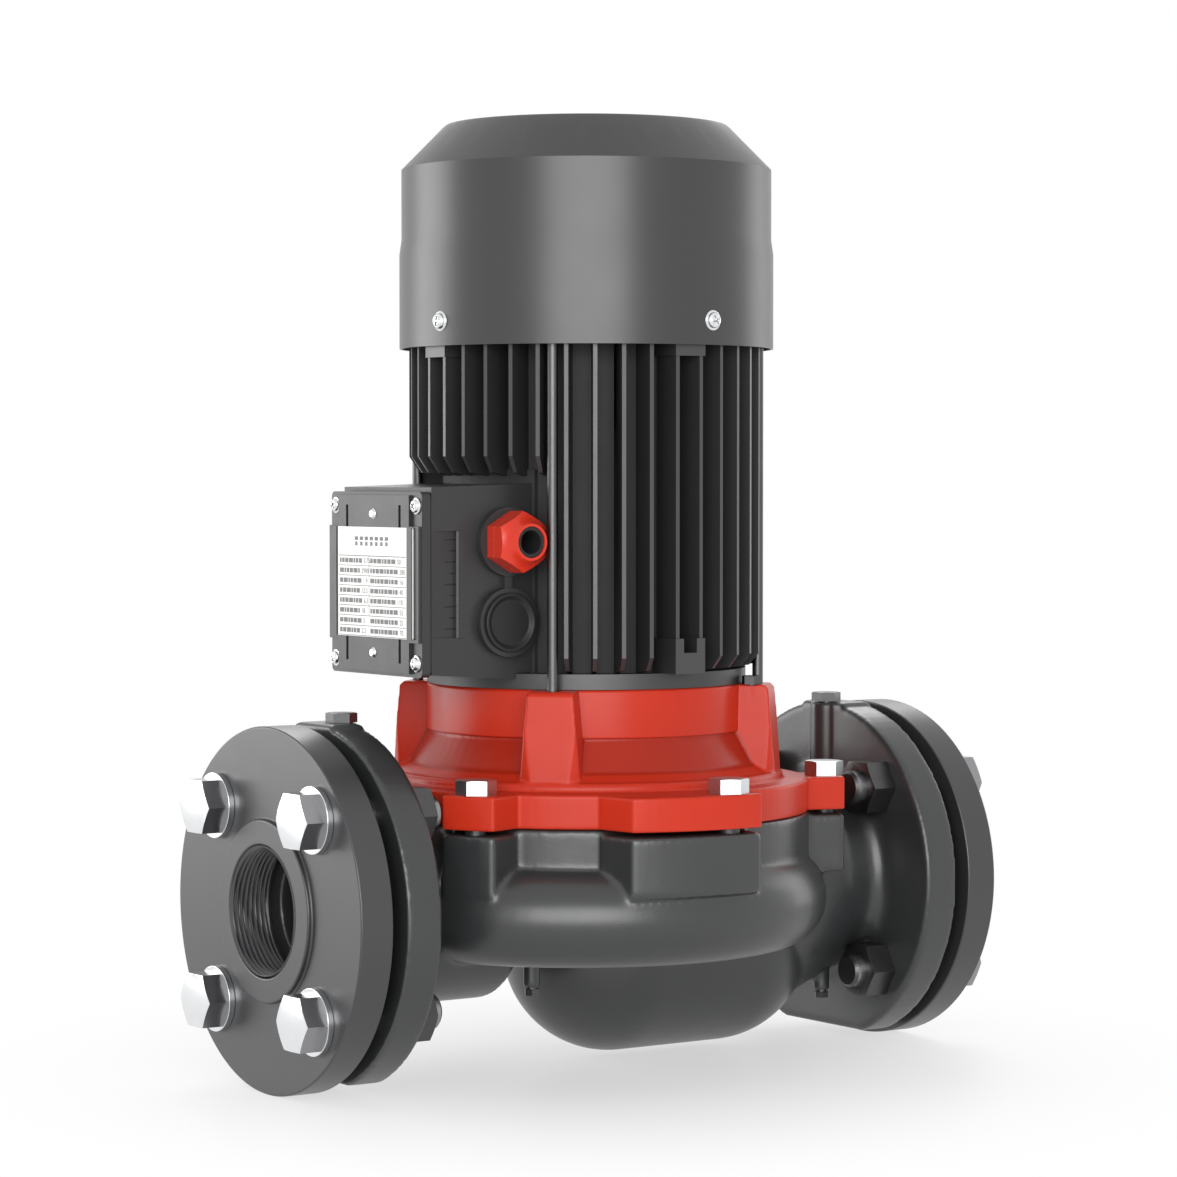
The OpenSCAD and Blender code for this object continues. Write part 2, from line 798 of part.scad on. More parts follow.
module seal_head() {
    color(rubber) on_axis() translate([0, 0, seal_spring_z + seal_spring_h]) {
        ring(seal_r - 1.5, bearing_bore / 2, seal_head_h - seal_carbon_h);
        translate([0, 0, seal_head_h - seal_carbon_h - eps])
            ring(seal_r - 3, seat_bore_r, seal_carbon_h + eps);
    }
}

// Points of one ring of the coil at turn fraction t
function coil_ring(t) = [for (k = [0:coil_sides - 1])
    let (a = 360 * coil_turns * t, b = 360 * k / coil_sides,
         r = coil_r + coil_wire / 2 * cos(b),
         z = coil_wire / 2 * (1 + sin(b)) + (seal_spring_h - coil_wire) * t)
    [r * cos(a), r * sin(a), z]];

module seal_spring() {
    count = coil_steps + 1;
    points = [for (i = [0:coil_steps]) each coil_ring(i / coil_steps)];
    walls = [for (i = [0:coil_steps - 1], k = [0:coil_sides - 1])
        let (a = i * coil_sides + k, b = i * coil_sides + (k + 1) % coil_sides)
        [a, b, b + coil_sides, a + coil_sides]];
    first = [for (k = [coil_sides - 1:-1:0]) k];
    last = [for (k = [0:coil_sides - 1]) coil_steps * coil_sides + k];
    color(steel) on_axis() translate([0, 0, seal_spring_z])
        polyhedron(points, concat([first], walls, [last]));
}

module water_slinger() {
    color(rubber) on_axis() translate([0, 0, slinger_z]) {
        ring(bearing_bore / 2 + slinger_hub_t, bearing_bore / 2, slinger_hub_h);
        ring(bearing_bore / 2 + slinger_lip, bearing_bore / 2 + slinger_hub_t - 1, slinger_lip_t);
    }
}

// Motor bracket

// Solid outline of the bracket, radius against height
module bracket_section() {
    flare_top_z = bracket_top_z - upper_ring_h;
    flange_top_z = joint_z + bracket_flange_t;
    polygon([
        [0, joint_z - spigot_h], [spigot_r, joint_z - spigot_h], [spigot_r, joint_z],
        [seat_ring_r, joint_z], [seat_ring_r, flange_top_z], [base_ring_r, flange_top_z],
        [base_ring_r, flange_top_z + base_ring_h - 1.5], [base_ring_r - 1.5, flange_top_z + base_ring_h],
        [base_ring_r - 4, flange_top_z + base_ring_h],
        [bracket_r + flare_rise, flange_top_z + 2 * base_ring_h],
        [bracket_r - 1, flare_top_z], [bracket_r, flare_top_z],
        [bracket_r, bracket_top_z], [0, bracket_top_z]]);
}

module pylon() {
    flange_top_z = joint_z + bracket_flange_t;
    bevel = 2.5;
    spread = 3.8;
    lean = 3.4;
    root_r = bracket_r - 16;
    top_z = bracket_top_z - pylon_top_gap;
    intersection() {
        // face-on outline, wider at the foot
        translate([root_r, 0, 0]) rotate([90, 0, 90]) linear_extrude(pylon_reach) polygon([
            [-pylon_half_w - spread, flange_top_z], [pylon_half_w + spread, flange_top_z],
            [pylon_half_w, top_z], [-pylon_half_w, top_z]]);
        // side outline, leaning outwards to the foot
        rotate([90, 0, 0]) translate([0, 0, -pylon_reach]) linear_extrude(2 * pylon_reach) polygon([
            [root_r, flange_top_z], [pylon_reach + lean, flange_top_z], [pylon_reach, top_z - 2],
            [pylon_reach - 2, top_z], [root_r, top_z]]);
        // bevelled outer corners, following the lean
        translate([0, 0, flange_top_z]) linear_extrude(bracket_top_z - flange_top_z) polygon([
            [0, -pylon_half_w - spread - 1], [pylon_reach - 1, -pylon_half_w - spread - 1],
            [pylon_reach + lean + 1, -pylon_half_w + bevel + 1],
            [pylon_reach + lean + 1, pylon_half_w - bevel - 1],
            [pylon_reach - 1, pylon_half_w + spread + 1], [0, pylon_half_w + spread + 1]]);
    }
}

module motor_bracket() {
    flange_top_z = joint_z + bracket_flange_t;
    color(red_paint) on_axis() difference() {
        union() {
            rotate_extrude($fn = 128) bracket_section();
            translate([0, 0, joint_z]) linear_extrude(bracket_flange_t) lobes_outline();
            for (a = pylon_az) rotate([0, 0, a]) pylon();
            translate([0, 0, bracket_top_z - eps])
                ring(spigot_in_r - slide_gap, spigot_in_r - register_t, register_h + eps);
        }
        // seal chamber, seat bore and shaft way
        translate([0, 0, joint_z - spigot_h - 1])
            cylinder(r = seal_r + 3, h = seal_face_z - joint_z + spigot_h + 1);
        cylinder(r = seal_r + slide_gap, h = seal_face_z + seat_t);
        cylinder(r = bearing_bore / 2 + 2, h = bearing_low_z);
        // lantern room round the slinger
        difference() {
            translate([0, 0, lantern_z])
                cylinder(r = lantern_r, h = bearing_low_z - lantern_roof_t - lantern_z);
            translate([0, 0, lantern_z - 1])
                cylinder(r1 = seal_r + 9, r2 = seal_r + 6, h = slinger_z - lantern_z - 2);
        }
        // bearing seat and the room above it
        translate([0, 0, bearing_low_z]) cylinder(r = bearing_d / 2 + slide_gap, h = bracket_top_z);
        difference() {
            translate([0, 0, bearing_low_z + 4]) cylinder(r = spigot_in_r - register_t, h = bracket_top_z);
            cylinder(r = bearing_d / 2 + bearing_wall, h = bearing_low_z + bearing_w + 1);
        }
        at_casing_bolts() translate([0, 0, joint_z - 1])
            cylinder(d = cover_bolt_d + bolt_gap, h = bracket_flange_t + 2);
        // clearance for the bolt heads beside the flare
        at_casing_bolts() translate([0, 0, flange_top_z])
            cylinder(r = cover_bolt_d, h = 2 * base_ring_h + 1);
        for (a = pylon_az) rotate([0, 0, a]) translate([tie_r, 0, bracket_top_z - tie_depth])
            cylinder(d = tie_d + 2 * thread_gap, h = tie_depth + 1);
        rotate([0, 0, earth_az]) translate([earth_r, 0, bracket_top_z - earth_len - 2])
            cylinder(d = earth_d + 2 * thread_gap, h = earth_len + 4);
    }
}

module casing_bolts() {
    head_z = joint_z + bracket_flange_t;
    color(zinc) on_axis() at_casing_bolts() translate([0, 0, head_z]) mirror([0, 0, 1])
        hex_bolt(cover_bolt_d, bracket_flange_t + lobe_relief + casing_bolt_depth - 4, 1.6 * cover_bolt_d,
            0.68 * cover_bolt_d);
}

module earth_screw() {
    color(zinc) on_axis() rotate([0, 0, earth_az]) translate([earth_r, 0, bracket_top_z - pylon_top_gap])
        mirror([0, 0, 1]) hex_bolt(earth_d, earth_len, 2 * earth_d, earth_d);
}

// Shaft, rotor and bearings

module shaft() {
    r_imp = impeller_bore / 2;
    r_brg = bearing_bore / 2;
    ch = 1;
    color(steel) on_axis() difference() {
        rotate_extrude() polygon([
            [0, shaft_bottom], [shaft_thread_d / 2 - ch, shaft_bottom],
            [shaft_thread_d / 2, shaft_bottom + ch], [shaft_thread_d / 2, hub_bottom],
            [r_imp, hub_bottom], [r_imp, hub_top], [r_brg, hub_top],
            [r_brg, bearing_low_z + bearing_w], [rotor_shaft_r, bearing_low_z + bearing_w],
            [rotor_shaft_r, bearing_high_z], [r_brg, bearing_high_z], [r_brg, shield_top + 3],
            [fan_seat_r, shield_top + 4], [fan_seat_r, shaft_top - ch], [fan_seat_r - ch, shaft_top],
            [0, shaft_top]]);
        translate([r_imp - key_rise, -key_w / 2, hub_bottom + 1]) cube([r_imp, key_w, key_len]);
        translate([0, 0, fan_z + fan_hub_h + clip_gap]) ring(fan_seat_r + 1, fan_seat_r - 1, clip_t);
    }
}

module rotor_core() {
    color(steel) on_axis() translate([0, 0, core_z]) {
        ring(rotor_r, rotor_shaft_r, core_len);
        for (z = [-end_ring_h, core_len]) translate([0, 0, z]) ring(rotor_r - 3, rotor_r - 13, end_ring_h);
        for (a = [0:45:315])
            rotate([0, 0, a]) translate([rotor_r - 12, -rotor_lug_t / 2, -end_ring_h - rotor_lug_h])
                cube([rotor_lug_w, rotor_lug_t, core_len + 2 * end_ring_h + 2 * rotor_lug_h]);
    }
}

// Ring of a ball bearing with the ball track turned into it
module race(r_in, r_out) {
    rotate_extrude() difference() {
        translate([r_in, 0]) square([r_out - r_in, bearing_w]);
        translate([ball_track_r, bearing_w / 2]) circle(r = ball_r + slide_gap);
    }
}

module bearing_inner(z) {
    color(steel) on_axis() translate([0, 0, z]) race(bearing_bore / 2, bearing_bore / 2 + race_t);
}

module bearing_outer(z) {
    color(steel) on_axis() translate([0, 0, z]) race(bearing_d / 2 - race_t, bearing_d / 2);
}

module bearing_balls(z) {
    color(zinc) on_axis() translate([0, 0, z + bearing_w / 2])
        for (i = [0:balls - 1]) rotate([0, 0, i * 360 / balls]) translate([ball_track_r, 0, 0])
            sphere(r = ball_r);
}

module lower_bearing_inner() {
    bearing_inner(bearing_low_z);
}

module lower_bearing_outer() {
    bearing_outer(bearing_low_z);
}

module lower_bearing_balls() {
    bearing_balls(bearing_low_z);
}

module upper_bearing_inner() {
    bearing_inner(bearing_high_z);
}

module upper_bearing_outer() {
    bearing_outer(bearing_high_z);
}

module upper_bearing_balls() {
    bearing_balls(bearing_high_z);
}

module wave_washer() {
    color(steel) on_axis() translate([0, 0, bearing_high_z + bearing_w])
        ring(bearing_d / 2 - 0.5, bearing_d / 2 - race_t + 0.5, wave_t);
}

// Motor frame and its ends

// One fin drawn along +X with slanting ends
module fin(z_low, z_high) {
    rise = fin_tip_r - barrel_r;
    rotate([90, 0, 0]) translate([0, 0, -fin_t / 2]) linear_extrude(fin_t) polygon([
        [barrel_r - 1, z_low - 1], [barrel_r + 1, z_low], [fin_tip_r - 2, z_low + rise * 0.12],
        [fin_tip_r, z_low + rise * 0.12 + 2], [fin_tip_r, z_high], [barrel_r - 1, z_high]]);
}

// True for a fin that would run into the terminal box or its gland
function beside_box(a) = abs(a - 180) < box_clear_angle;

module foot_pad(a) {
    rotate([0, 0, a]) difference() {
        translate([barrel_r - 2, -pad_w / 2, fin_foot_z]) cube([fin_tip_r + 0.6 - barrel_r + 2, pad_w, 16]);
        translate([fin_tip_r - 4, 0, fin_foot_z + 9]) rotate([0, 90, 0]) cylinder(d = pad_w * 0.42, h = 10);
        translate([fin_tip_r - 4, -pad_w * 0.21, fin_foot_z - 1]) cube([10, pad_w * 0.42, 10]);
    }
}

// Seat of the terminal box: a band of the barrel raised under and just above the box
module box_seat() {
    intersection() {
        translate([0, 0, fin_foot_z - 1])
            cylinder(r = box_seat_r, h = box_body_top + 9 - fin_foot_z, $fn = 128);
        translate([-2 * barrel_r, -box_body_w / 2 - 1, 0]) cube([2 * barrel_r, box_body_w + 2, frame_top]);
    }
}

module motor_frame() {
    pitch = 360 / fins;
    color(dark_paint) on_axis() difference() {
        union() {
            translate([0, 0, frame_z]) cylinder(r = barrel_r, h = frame_len, $fn = 128);
            box_seat();
            translate([0, 0, frame_z]) cylinder(r = barrel_ring_r, h = fin_foot_z - frame_z, $fn = 128);
            for (i = [0:fins - 1]) {
                a = (i + 0.5) * pitch;
                if (beside_box(a)) rotate([0, 0, a]) fin(box_body_top + 5, frame_top);
                else rotate([0, 0, a]) fin(fin_foot_z, frame_top);
            }
            for (a = [-90, 0, 90]) foot_pad(a);
            for (a = [-90, 0, 90, 180]) rotate([0, 0, a])
                translate([barrel_r - 2, -pad_w / 2, cowl_bottom_z - 5])
                    cube([fin_tip_r + 0.6 - barrel_r + 2, pad_w, frame_top - cowl_bottom_z + 5]);
        }
        translate([0, 0, frame_z - 1]) cylinder(r = stator_r + slide_gap, h = frame_len + 2);
        translate([0, 0, frame_z - 1]) cylinder(r = spigot_in_r, h = register_h + 2);
        translate([0, 0, frame_top - register_h - 1]) cylinder(r = spigot_in_r, h = register_h + 2);
        // lead way into the terminal box
        translate([-barrel_r - 3, 0, lead_z]) rotate([0, 90, 0]) cylinder(d = lead_d, h = lead_run);
    }
}

module stator_core() {
    slot_r = (rotor_r + air_gap + stator_r) / 2 + 3;
    color(steel) on_axis() translate([0, 0, core_z]) difference() {
        cylinder(r = stator_r, h = core_len);
        translate([0, 0, -1]) cylinder(r = rotor_r + air_gap, h = core_len + 2);
        for (i = [0:slots - 1]) rotate([0, 0, i * 360 / slots])
            translate([rotor_r + air_gap + 2, -slot_w / 2, -1])
                cube([slot_r - rotor_r - air_gap - 2, slot_w, core_len + 2]);
    }
}

module stator_windings() {
    slot_r = (rotor_r + air_gap + stator_r) / 2 + 3;
    color(copper) on_axis() translate([0, 0, core_z]) {
        for (i = [0:slots - 1]) rotate([0, 0, i * 360 / slots])
            translate([rotor_r + air_gap + 3, -slot_w / 2 + 0.1, -1])
                cube([slot_r - rotor_r - air_gap - 3.2, slot_w - 0.2, core_len + 2]);
        for (z = [-winding_h, core_len]) translate([0, 0, z])
            ring(stator_r - 3, rotor_r + air_gap + 2.5, winding_h);
    }
}

// Shield that closes the top of the frame and carries the upper bearing
module top_end_shield() {
    cap_z = bearing_high_z + bearing_w + wave_t;
    color(dark_paint) on_axis() difference() {
        union() {
            translate([0, 0, frame_top]) cylinder(r = shield_r, h = shield_t);
            translate([0, 0, frame_top - register_h])
                cylinder(r = spigot_in_r - slide_gap, h = register_h + eps);
            translate([0, 0, bearing_high_z - 2])
                cylinder(r = bearing_d / 2 + bearing_wall, h = cap_z + cap_t - bearing_high_z + 2);
            for (a = pylon_az) rotate([0, 0, a]) translate([barrel_r - 4, -tie_lug_w / 2, frame_top])
                cube([tie_r + 0.75 * tie_d - barrel_r + 4, tie_lug_w, shield_t]);
            for (a = cowl_screw_az) rotate([0, 0, a]) intersection() {
                translate([barrel_r - 4, -screw_lug_w / 2, frame_top])
                    cube([cowl_r - barrel_r + 4, screw_lug_w, shield_t + 3]);
                translate([0, 0, frame_top]) cylinder(r = cowl_r - cowl_t - slide_gap, h = shield_t + 3);
            }
        }
        translate([0, 0, bearing_high_z - 3])
            cylinder(r = bearing_d / 2 + slide_gap, h = cap_z - bearing_high_z + 3);
        translate([0, 0, bearing_high_z]) cylinder(r = bearing_bore / 2 + 1.5, h = cap_z);
        difference() {
            translate([0, 0, frame_top - register_h - 1])
                cylinder(r = spigot_in_r - register_t, h = register_h + 3);
            cylinder(r = bearing_d / 2 + bearing_wall, h = cowl_top_z);
        }
        for (a = pylon_az) rotate([0, 0, a]) translate([tie_r, 0, frame_top - 1])
            cylinder(d = tie_d + 0.6, h = shield_t + 2);
        for (a = cowl_screw_az) rotate([0, 0, a]) translate([cowl_r - 14, 0, cowl_screw_z])
            rotate([0, 90, 0]) cylinder(d = cowl_screw_d + 2 * thread_gap, h = 20);
    }
}

module tie_bolts() {
    len = shield_top - bracket_top_z + tie_depth - 2;
    color(zinc) on_axis() for (a = pylon_az) rotate([0, 0, a]) translate([tie_r, 0, shield_top])
        mirror([0, 0, 1]) rotate([0, 0, 30]) hex_bolt(tie_d, len, tie_head_af, tie_head_h);
}

module cooling_fan() {
    color("#3a3c3e") on_axis() translate([0, 0, fan_z]) {
        difference() {
            union() {
                cylinder(r = fan_hub_r, h = fan_hub_h);
                cylinder(d = fan_d - 8, h = fan_disc_t);
                for (i = [0:fan_blades - 1]) rotate([0, 0, i * 360 / fan_blades])
                    translate([fan_hub_r - 2, -fan_blade_t / 2, 0])
                        cube([fan_d / 2 - fan_hub_r + 2, fan_blade_t, fan_blade_h]);
            }
            translate([0, 0, -1]) cylinder(r = fan_seat_r, h = fan_hub_h + 2);
        }
    }
}

module fan_clip() {
    color(steel) on_axis() translate([0, 0, fan_z + fan_hub_h + clip_gap + 0.05]) difference() {
        ring(fan_seat_r + 3, fan_seat_r - 1 + slide_gap, clip_t - 0.1);
        translate([0, -2, -1]) cube([20, 4, clip_t + 2]);
    }
}

// Sheet profile of the cowl, shrunk inwards by inset
module cowl_section(inset) {
    polygon([
        [0, -1], [cowl_r - inset, -1], [cowl_r - inset, cowl_step_h - inset / 2],
        [cowl_upper_r - inset, cowl_step_h + 1 - inset / 2],
        [cowl_upper_r - inset, cowl_shoulder_h - inset * 0.4],
        [cowl_top_r + 1.5 - inset * 0.5, cowl_h - 1.2 - inset], [cowl_top_r - inset * 0.5, cowl_h - inset],
        [0, cowl_h - inset]]);
}

module fan_cowl() {
    color(cowl_paint) on_axis() difference() {
        translate([0, 0, cowl_bottom_z]) rotate_extrude($fn = 128) difference() {
            intersection() {
                cowl_section(0);
                square([cowl_r + 1, cowl_h + 1]);
            }
            cowl_section(cowl_t);
        }
        // vent slots of the top, in rings between straight spokes
        translate([0, 0, cowl_top_z - cowl_t - 1]) difference() {
            for (r = [vent_first_r:vent_pitch:cowl_top_r - 6])
                ring(r + vent_w / 2, r - vent_w / 2, cowl_t + 2);
            for (a = [0:45:135]) rotate([0, 0, a]) translate([-cowl_r, -spoke_w / 2, -1])
                cube([2 * cowl_r, spoke_w, cowl_t + 4]);
        }
        for (a = cowl_screw_az) rotate([0, 0, a]) translate([cowl_r - 4, 0, cowl_screw_z]) rotate([0, 90, 0])
            cylinder(d = cowl_screw_d + 0.4, h = 8);
    }
}

module cowl_screws() {
    color(zinc) on_axis() for (a = cowl_screw_az) rotate([0, 0, a])
        translate([cowl_r + 0.05, 0, cowl_screw_z]) rotate([0, 90, 0]) {
            translate([0, 0, -9]) cylinder(d = cowl_screw_d, h = 9 + eps);
            cylinder(d = 2 * cowl_screw_d, h = 1.4);
            translate([0, 0, 1.4 - eps]) cylinder(r1 = cowl_screw_d, r2 = cowl_screw_d * 0.55, h = 1.1);
        }
}

// Terminal box and cable gland

// Side outline of the box body, x against z, shrunk by inset
module box_side(inset) {
    polygon([
        [box_lip_x + box_gasket_t + (inset > 0 ? -1 : 0), box_body_bottom + 2 + inset],
        [box_back_x, box_body_bottom - 2 + inset], [box_back_x, box_body_top + 2 - inset],
        [box_lip_x + box_gasket_t + (inset > 0 ? -1 : 0), box_body_top - inset]]);
}

module entry_at(z) {
    translate([entry_x, 0, z]) rotate([90, 0, 0]) children();
}

module terminal_box() {
    half = box_body_w / 2;
    color(dark_paint) on_axis() difference() {
        union() {
            translate([0, half, 0]) rotate([90, 0, 0]) linear_extrude(box_body_w) box_side(0);
            entry_at(gland_z) translate([0, 0, half - 1]) cylinder(r = entry_boss_r, h = entry_boss_h + 1);
            entry_at(blank_z) translate([0, 0, half - 1]) cylinder(r = entry_boss_r, h = entry_boss_h + 1);
            translate([entry_x - web_w / 2, -half - web_h, blank_z])
                cube([web_w, web_h + 1, gland_z - blank_z]);
            for (s = [-1, 1]) translate([side_strip_x, s * half - strip_w / 2, box_mid_z - strip_h / 2])
                cube([strip_w, strip_w, strip_h]);
        }
        difference() {
            translate([0, half - box_wall, 0]) rotate([90, 0, 0]) linear_extrude(box_body_w - 2 * box_wall)
                box_side(box_wall);
            cylinder(r = box_seat_r + box_wall, h = frame_top);
            at_cover_screws() translate([box_lip_x, 0, 0]) rotate([0, 90, 0])
                cylinder(r = cover_screw_d * 1.1, h = box_reach);
        }
        cylinder(r = box_seat_r + slide_gap, h = frame_top, $fn = 128);
        cylinder(r = barrel_ring_r + box_clearance, h = fin_foot_z + box_clearance, $fn = 128);
        for (z = [gland_z, blank_z]) entry_at(z) translate([0, 0, half - box_wall - 2])
            cylinder(d = entry_thread_d + 2 * thread_gap, h = half);
        at_cover_screws() translate([box_lip_x - 1, 0, 0]) rotate([0, 90, 0])
            cylinder(d = cover_screw_d + 2 * thread_gap, h = cover_screw_len);
        translate([-barrel_r - 8, 0, lead_z]) rotate([0, 90, 0]) cylinder(d = lead_d, h = lead_run);
    }
}

module at_cover_screws() {
    for (y = [-1, 1], z = [-1, 1])
        translate([0, y * cover_screw_dy, box_mid_z + z * cover_screw_dz]) children();
}

module terminal_box_gasket() {
    color(rubber) on_axis() translate([box_lip_x, 0, box_mid_z]) difference() {
        rotate([90, 0, 90]) linear_extrude(box_gasket_t) difference() {
            rounded_rect(box_body_w, cover_h - 1, 3);
            rounded_rect(box_body_w - 2 * box_wall - 5, cover_h - 1 - 2 * box_wall - 5, 2);
        }
        translate([0, 0, -box_mid_z]) at_cover_screws() translate([-1, 0, 0]) rotate([0, 90, 0])
            cylinder(d = cover_screw_d + 0.6, h = 6);
    }
}

module terminal_box_cover() {
    pad_in = 8.6;
    color(dark_paint) on_axis() difference() {
        translate([box_front_x, 0, box_mid_z]) {
            translate([cover_pad_h, 0, 0]) rotate([90, 0, 90]) linear_extrude(cover_t - cover_pad_h)
                rounded_rect(cover_w, cover_h, 2.5);
            rotate([90, 0, 90]) linear_extrude(cover_pad_h + eps) {
                square([cover_w - 2 * pad_in, cover_h - 3], center = true);
                square([cover_w - 1, cover_h - 31], center = true);
            }
        }
        // grooves beside the middle strip, the room behind and the screw holes
        for (y = [-1, 1])
            translate([box_front_x - 1, y * groove_y - groove_w / 2, box_mid_z - cover_h / 2 + cover_t])
                cube([groove_deep + 1, groove_w, cover_h - 2 * cover_t]);
        translate([box_front_x + cover_t - 2.5, 0, box_mid_z]) rotate([90, 0, 90]) linear_extrude(4)
            rounded_rect(cover_w - 24, cover_h - 24, 3);
        at_cover_screws() translate([box_front_x - 1, 0, 0]) rotate([0, 90, 0])
            cylinder(d = cover_screw_d + 0.5, h = cover_t + 2);
        for (z = [-1, 1]) translate([box_front_x - 1, 0, box_mid_z + z * rivet_dz]) rotate([0, 90, 0])
            cylinder(d = rivet_d + 0.1, h = 4);
    }
}

module box_cover_screws() {
    color(zinc) on_axis() at_cover_screws() translate([box_front_x + cover_pad_h, 0, 0]) rotate([0, 90, 0]) {
        translate([0, 0, -eps]) cylinder(d = cover_screw_d, h = cover_screw_len);
        translate([0, 0, -cover_screw_head_h]) cylinder(d = 1.9 * cover_screw_d, h = cover_screw_head_h);
        translate([0, 0, -cover_screw_head_h - cover_screw_dome_h])
            cylinder(r1 = cover_screw_d * 0.55, r2 = cover_screw_d * 0.95, h = cover_screw_dome_h + eps);
    }
}

module nameplate() {
    color(plate_white) on_axis() translate([box_front_x - plate_t, 0, box_mid_z + 0.5])
        rotate([90, 0, 90]) linear_extrude(plate_t) rounded_rect(plate_w, plate_h, 1);
}

module nameplate_rivets() {
    color(zinc) on_axis() for (z = [-1, 1]) translate([box_front_x, 0, box_mid_z + z * rivet_dz])
        rotate([0, 90, 0]) {
            translate([0, 0, -0.5]) cylinder(d = rivet_d, h = 3.3);
            translate([0, 0, -1.1]) cylinder(r1 = rivet_d * 0.5, r2 = rivet_d * 0.85, h = 1.1);
        }
}

// Gland drawn outwards from the boss face at z = 0
module gland_body() {
    color(red_paint) on_axis() entry_at(gland_z) translate([0, 0, boss_face_y]) difference() {
        union() {
            rotate([0, 0, 30]) hexagon(gland_af, gland_hex_h);
            translate([0, 0, -gland_thread_len]) cylinder(d = entry_thread_d, h = gland_thread_len + eps);
            translate([0, 0, gland_hex_h - eps]) cylinder(d = gland_neck_d, h = gland_neck_h);
        }
        translate([0, 0, -gland_thread_len - 1])
            cylinder(d = gland_bore + 3, h = gland_thread_len + gland_hex_h + gland_neck_h + 2);
    }
}

// Domed hexagon nut of the gland
module gland_cap() {
    rim_r = gland_af / 2;
    corner_r = rim_r / cos(30);
    dome_h = gland_cap_h - gland_cap_flat;
    color(red_paint) on_axis() entry_at(gland_z) translate([0, 0, boss_face_y + gland_hex_h + cap_gap])
        difference() {
            intersection() {
                rotate([0, 0, 30]) hexagon(gland_af, gland_cap_h);
                rotate_extrude() polygon([
                    [0, 0], [corner_r + 1, 0], [corner_r + 1, gland_cap_flat - 2],
                    [corner_r - 0.6, gland_cap_flat - 0.8], [rim_r, gland_cap_flat + 0.2],
                    [rim_r - 1.1, gland_cap_flat + dome_h * 0.22],
                    [rim_r - 2, gland_cap_flat + dome_h * 0.42],
                    [rim_r - 2.7, gland_cap_flat + dome_h * 0.63],
                    [rim_r - 3.2, gland_cap_flat + dome_h * 0.82],
                    [rim_r - 3.8, gland_cap_h], [0, gland_cap_h]]);
            }
            translate([0, 0, -1]) cylinder(d = gland_neck_d + 2 * thread_gap, h = gland_neck_h + 1);
            translate([0, 0, -1]) cylinder(d = gland_bore + 3.4, h = gland_cap_h + 2);
        }
}

module gland_seal() {
    seal_len = gland_seal_in + cap_gap + gland_cap_h - gland_seal_back;
    color(rubber) on_axis() entry_at(gland_z) translate([0, 0, boss_face_y + gland_hex_h - gland_seal_in])
        ring(gland_bore / 2 + 1.5 - 0.03, gland_bore / 2, seal_len);
}

module blanking_plug() {
    color(dark_paint) on_axis() entry_at(blank_z) translate([0, 0, boss_face_y]) {
        cylinder(r = entry_boss_r - 2.2, h = 1.2);
        translate([0, 0, -gland_thread_len]) cylinder(d = entry_thread_d, h = gland_thread_len + eps);
    }
}

module terminal_board() {
    color("#d9cfae") on_axis() difference() {
        union() {
            translate([board_x, -board_w / 2, box_mid_z - board_h / 2]) cube([board_t, board_w, board_h]);
            translate([board_x + board_t - 1, -board_foot_w / 2, box_mid_z - board_foot_w])
                cube([-board_x - barrel_r, board_foot_w, 2 * board_foot_w]);
        }
        cylinder(r = box_seat_r + box_wall, h = frame_top, $fn = 128);
        at_studs() rotate([0, 90, 0]) translate([0, 0, -stud_rise])
            cylinder(d = stud_d + 0.1, h = 2 * stud_len);
    }
}

module at_studs() {
    for (y = [-1, 0, 1], z = [-1, 1])
        translate([board_x, y * board_w / 3.2, box_mid_z + z * board_h / 3]) children();
}

module terminal_studs() {
    color(brass) on_axis() at_studs() rotate([0, 90, 0]) {
        translate([0, 0, -stud_rise]) cylinder(d = stud_d, h = stud_len);
        translate([0, 0, -stud_nut_h]) hexagon(1.75 * stud_d, stud_nut_h);
    }
}

volute_casing();
inlet_counter_flange();
outlet_counter_flange();
inlet_gasket();
outlet_gasket();
inlet_flange_bolts();
outlet_flange_bolts();
inlet_flange_washers();
outlet_flange_washers();
inlet_flange_nuts();
outlet_flange_nuts();
inlet_gauge_plug();
outlet_gauge_plug();
drain_plugs();
casing_gasket();
wear_ring();
motor_bracket();
casing_bolts();
earth_screw();
seal_seat();
seal_head();
seal_spring();
impeller();
impeller_key();
impeller_washer();
impeller_nut();
water_slinger();
shaft();
rotor_core();
lower_bearing_inner();
lower_bearing_outer();
lower_bearing_balls();
upper_bearing_inner();
upper_bearing_outer();
upper_bearing_balls();
wave_washer();
motor_frame();
stator_core();
stator_windings();
top_end_shield();
tie_bolts();
cooling_fan();
fan_clip();
fan_cowl();
cowl_screws();
terminal_box();
terminal_box_gasket();
terminal_box_cover();
box_cover_screws();
nameplate();
nameplate_rivets();
gland_body();
gland_seal();
gland_cap();
blanking_plug();
terminal_board();
terminal_studs();
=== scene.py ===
import json
import math

import bmesh
import bpy
from mathutils import Matrix, Vector


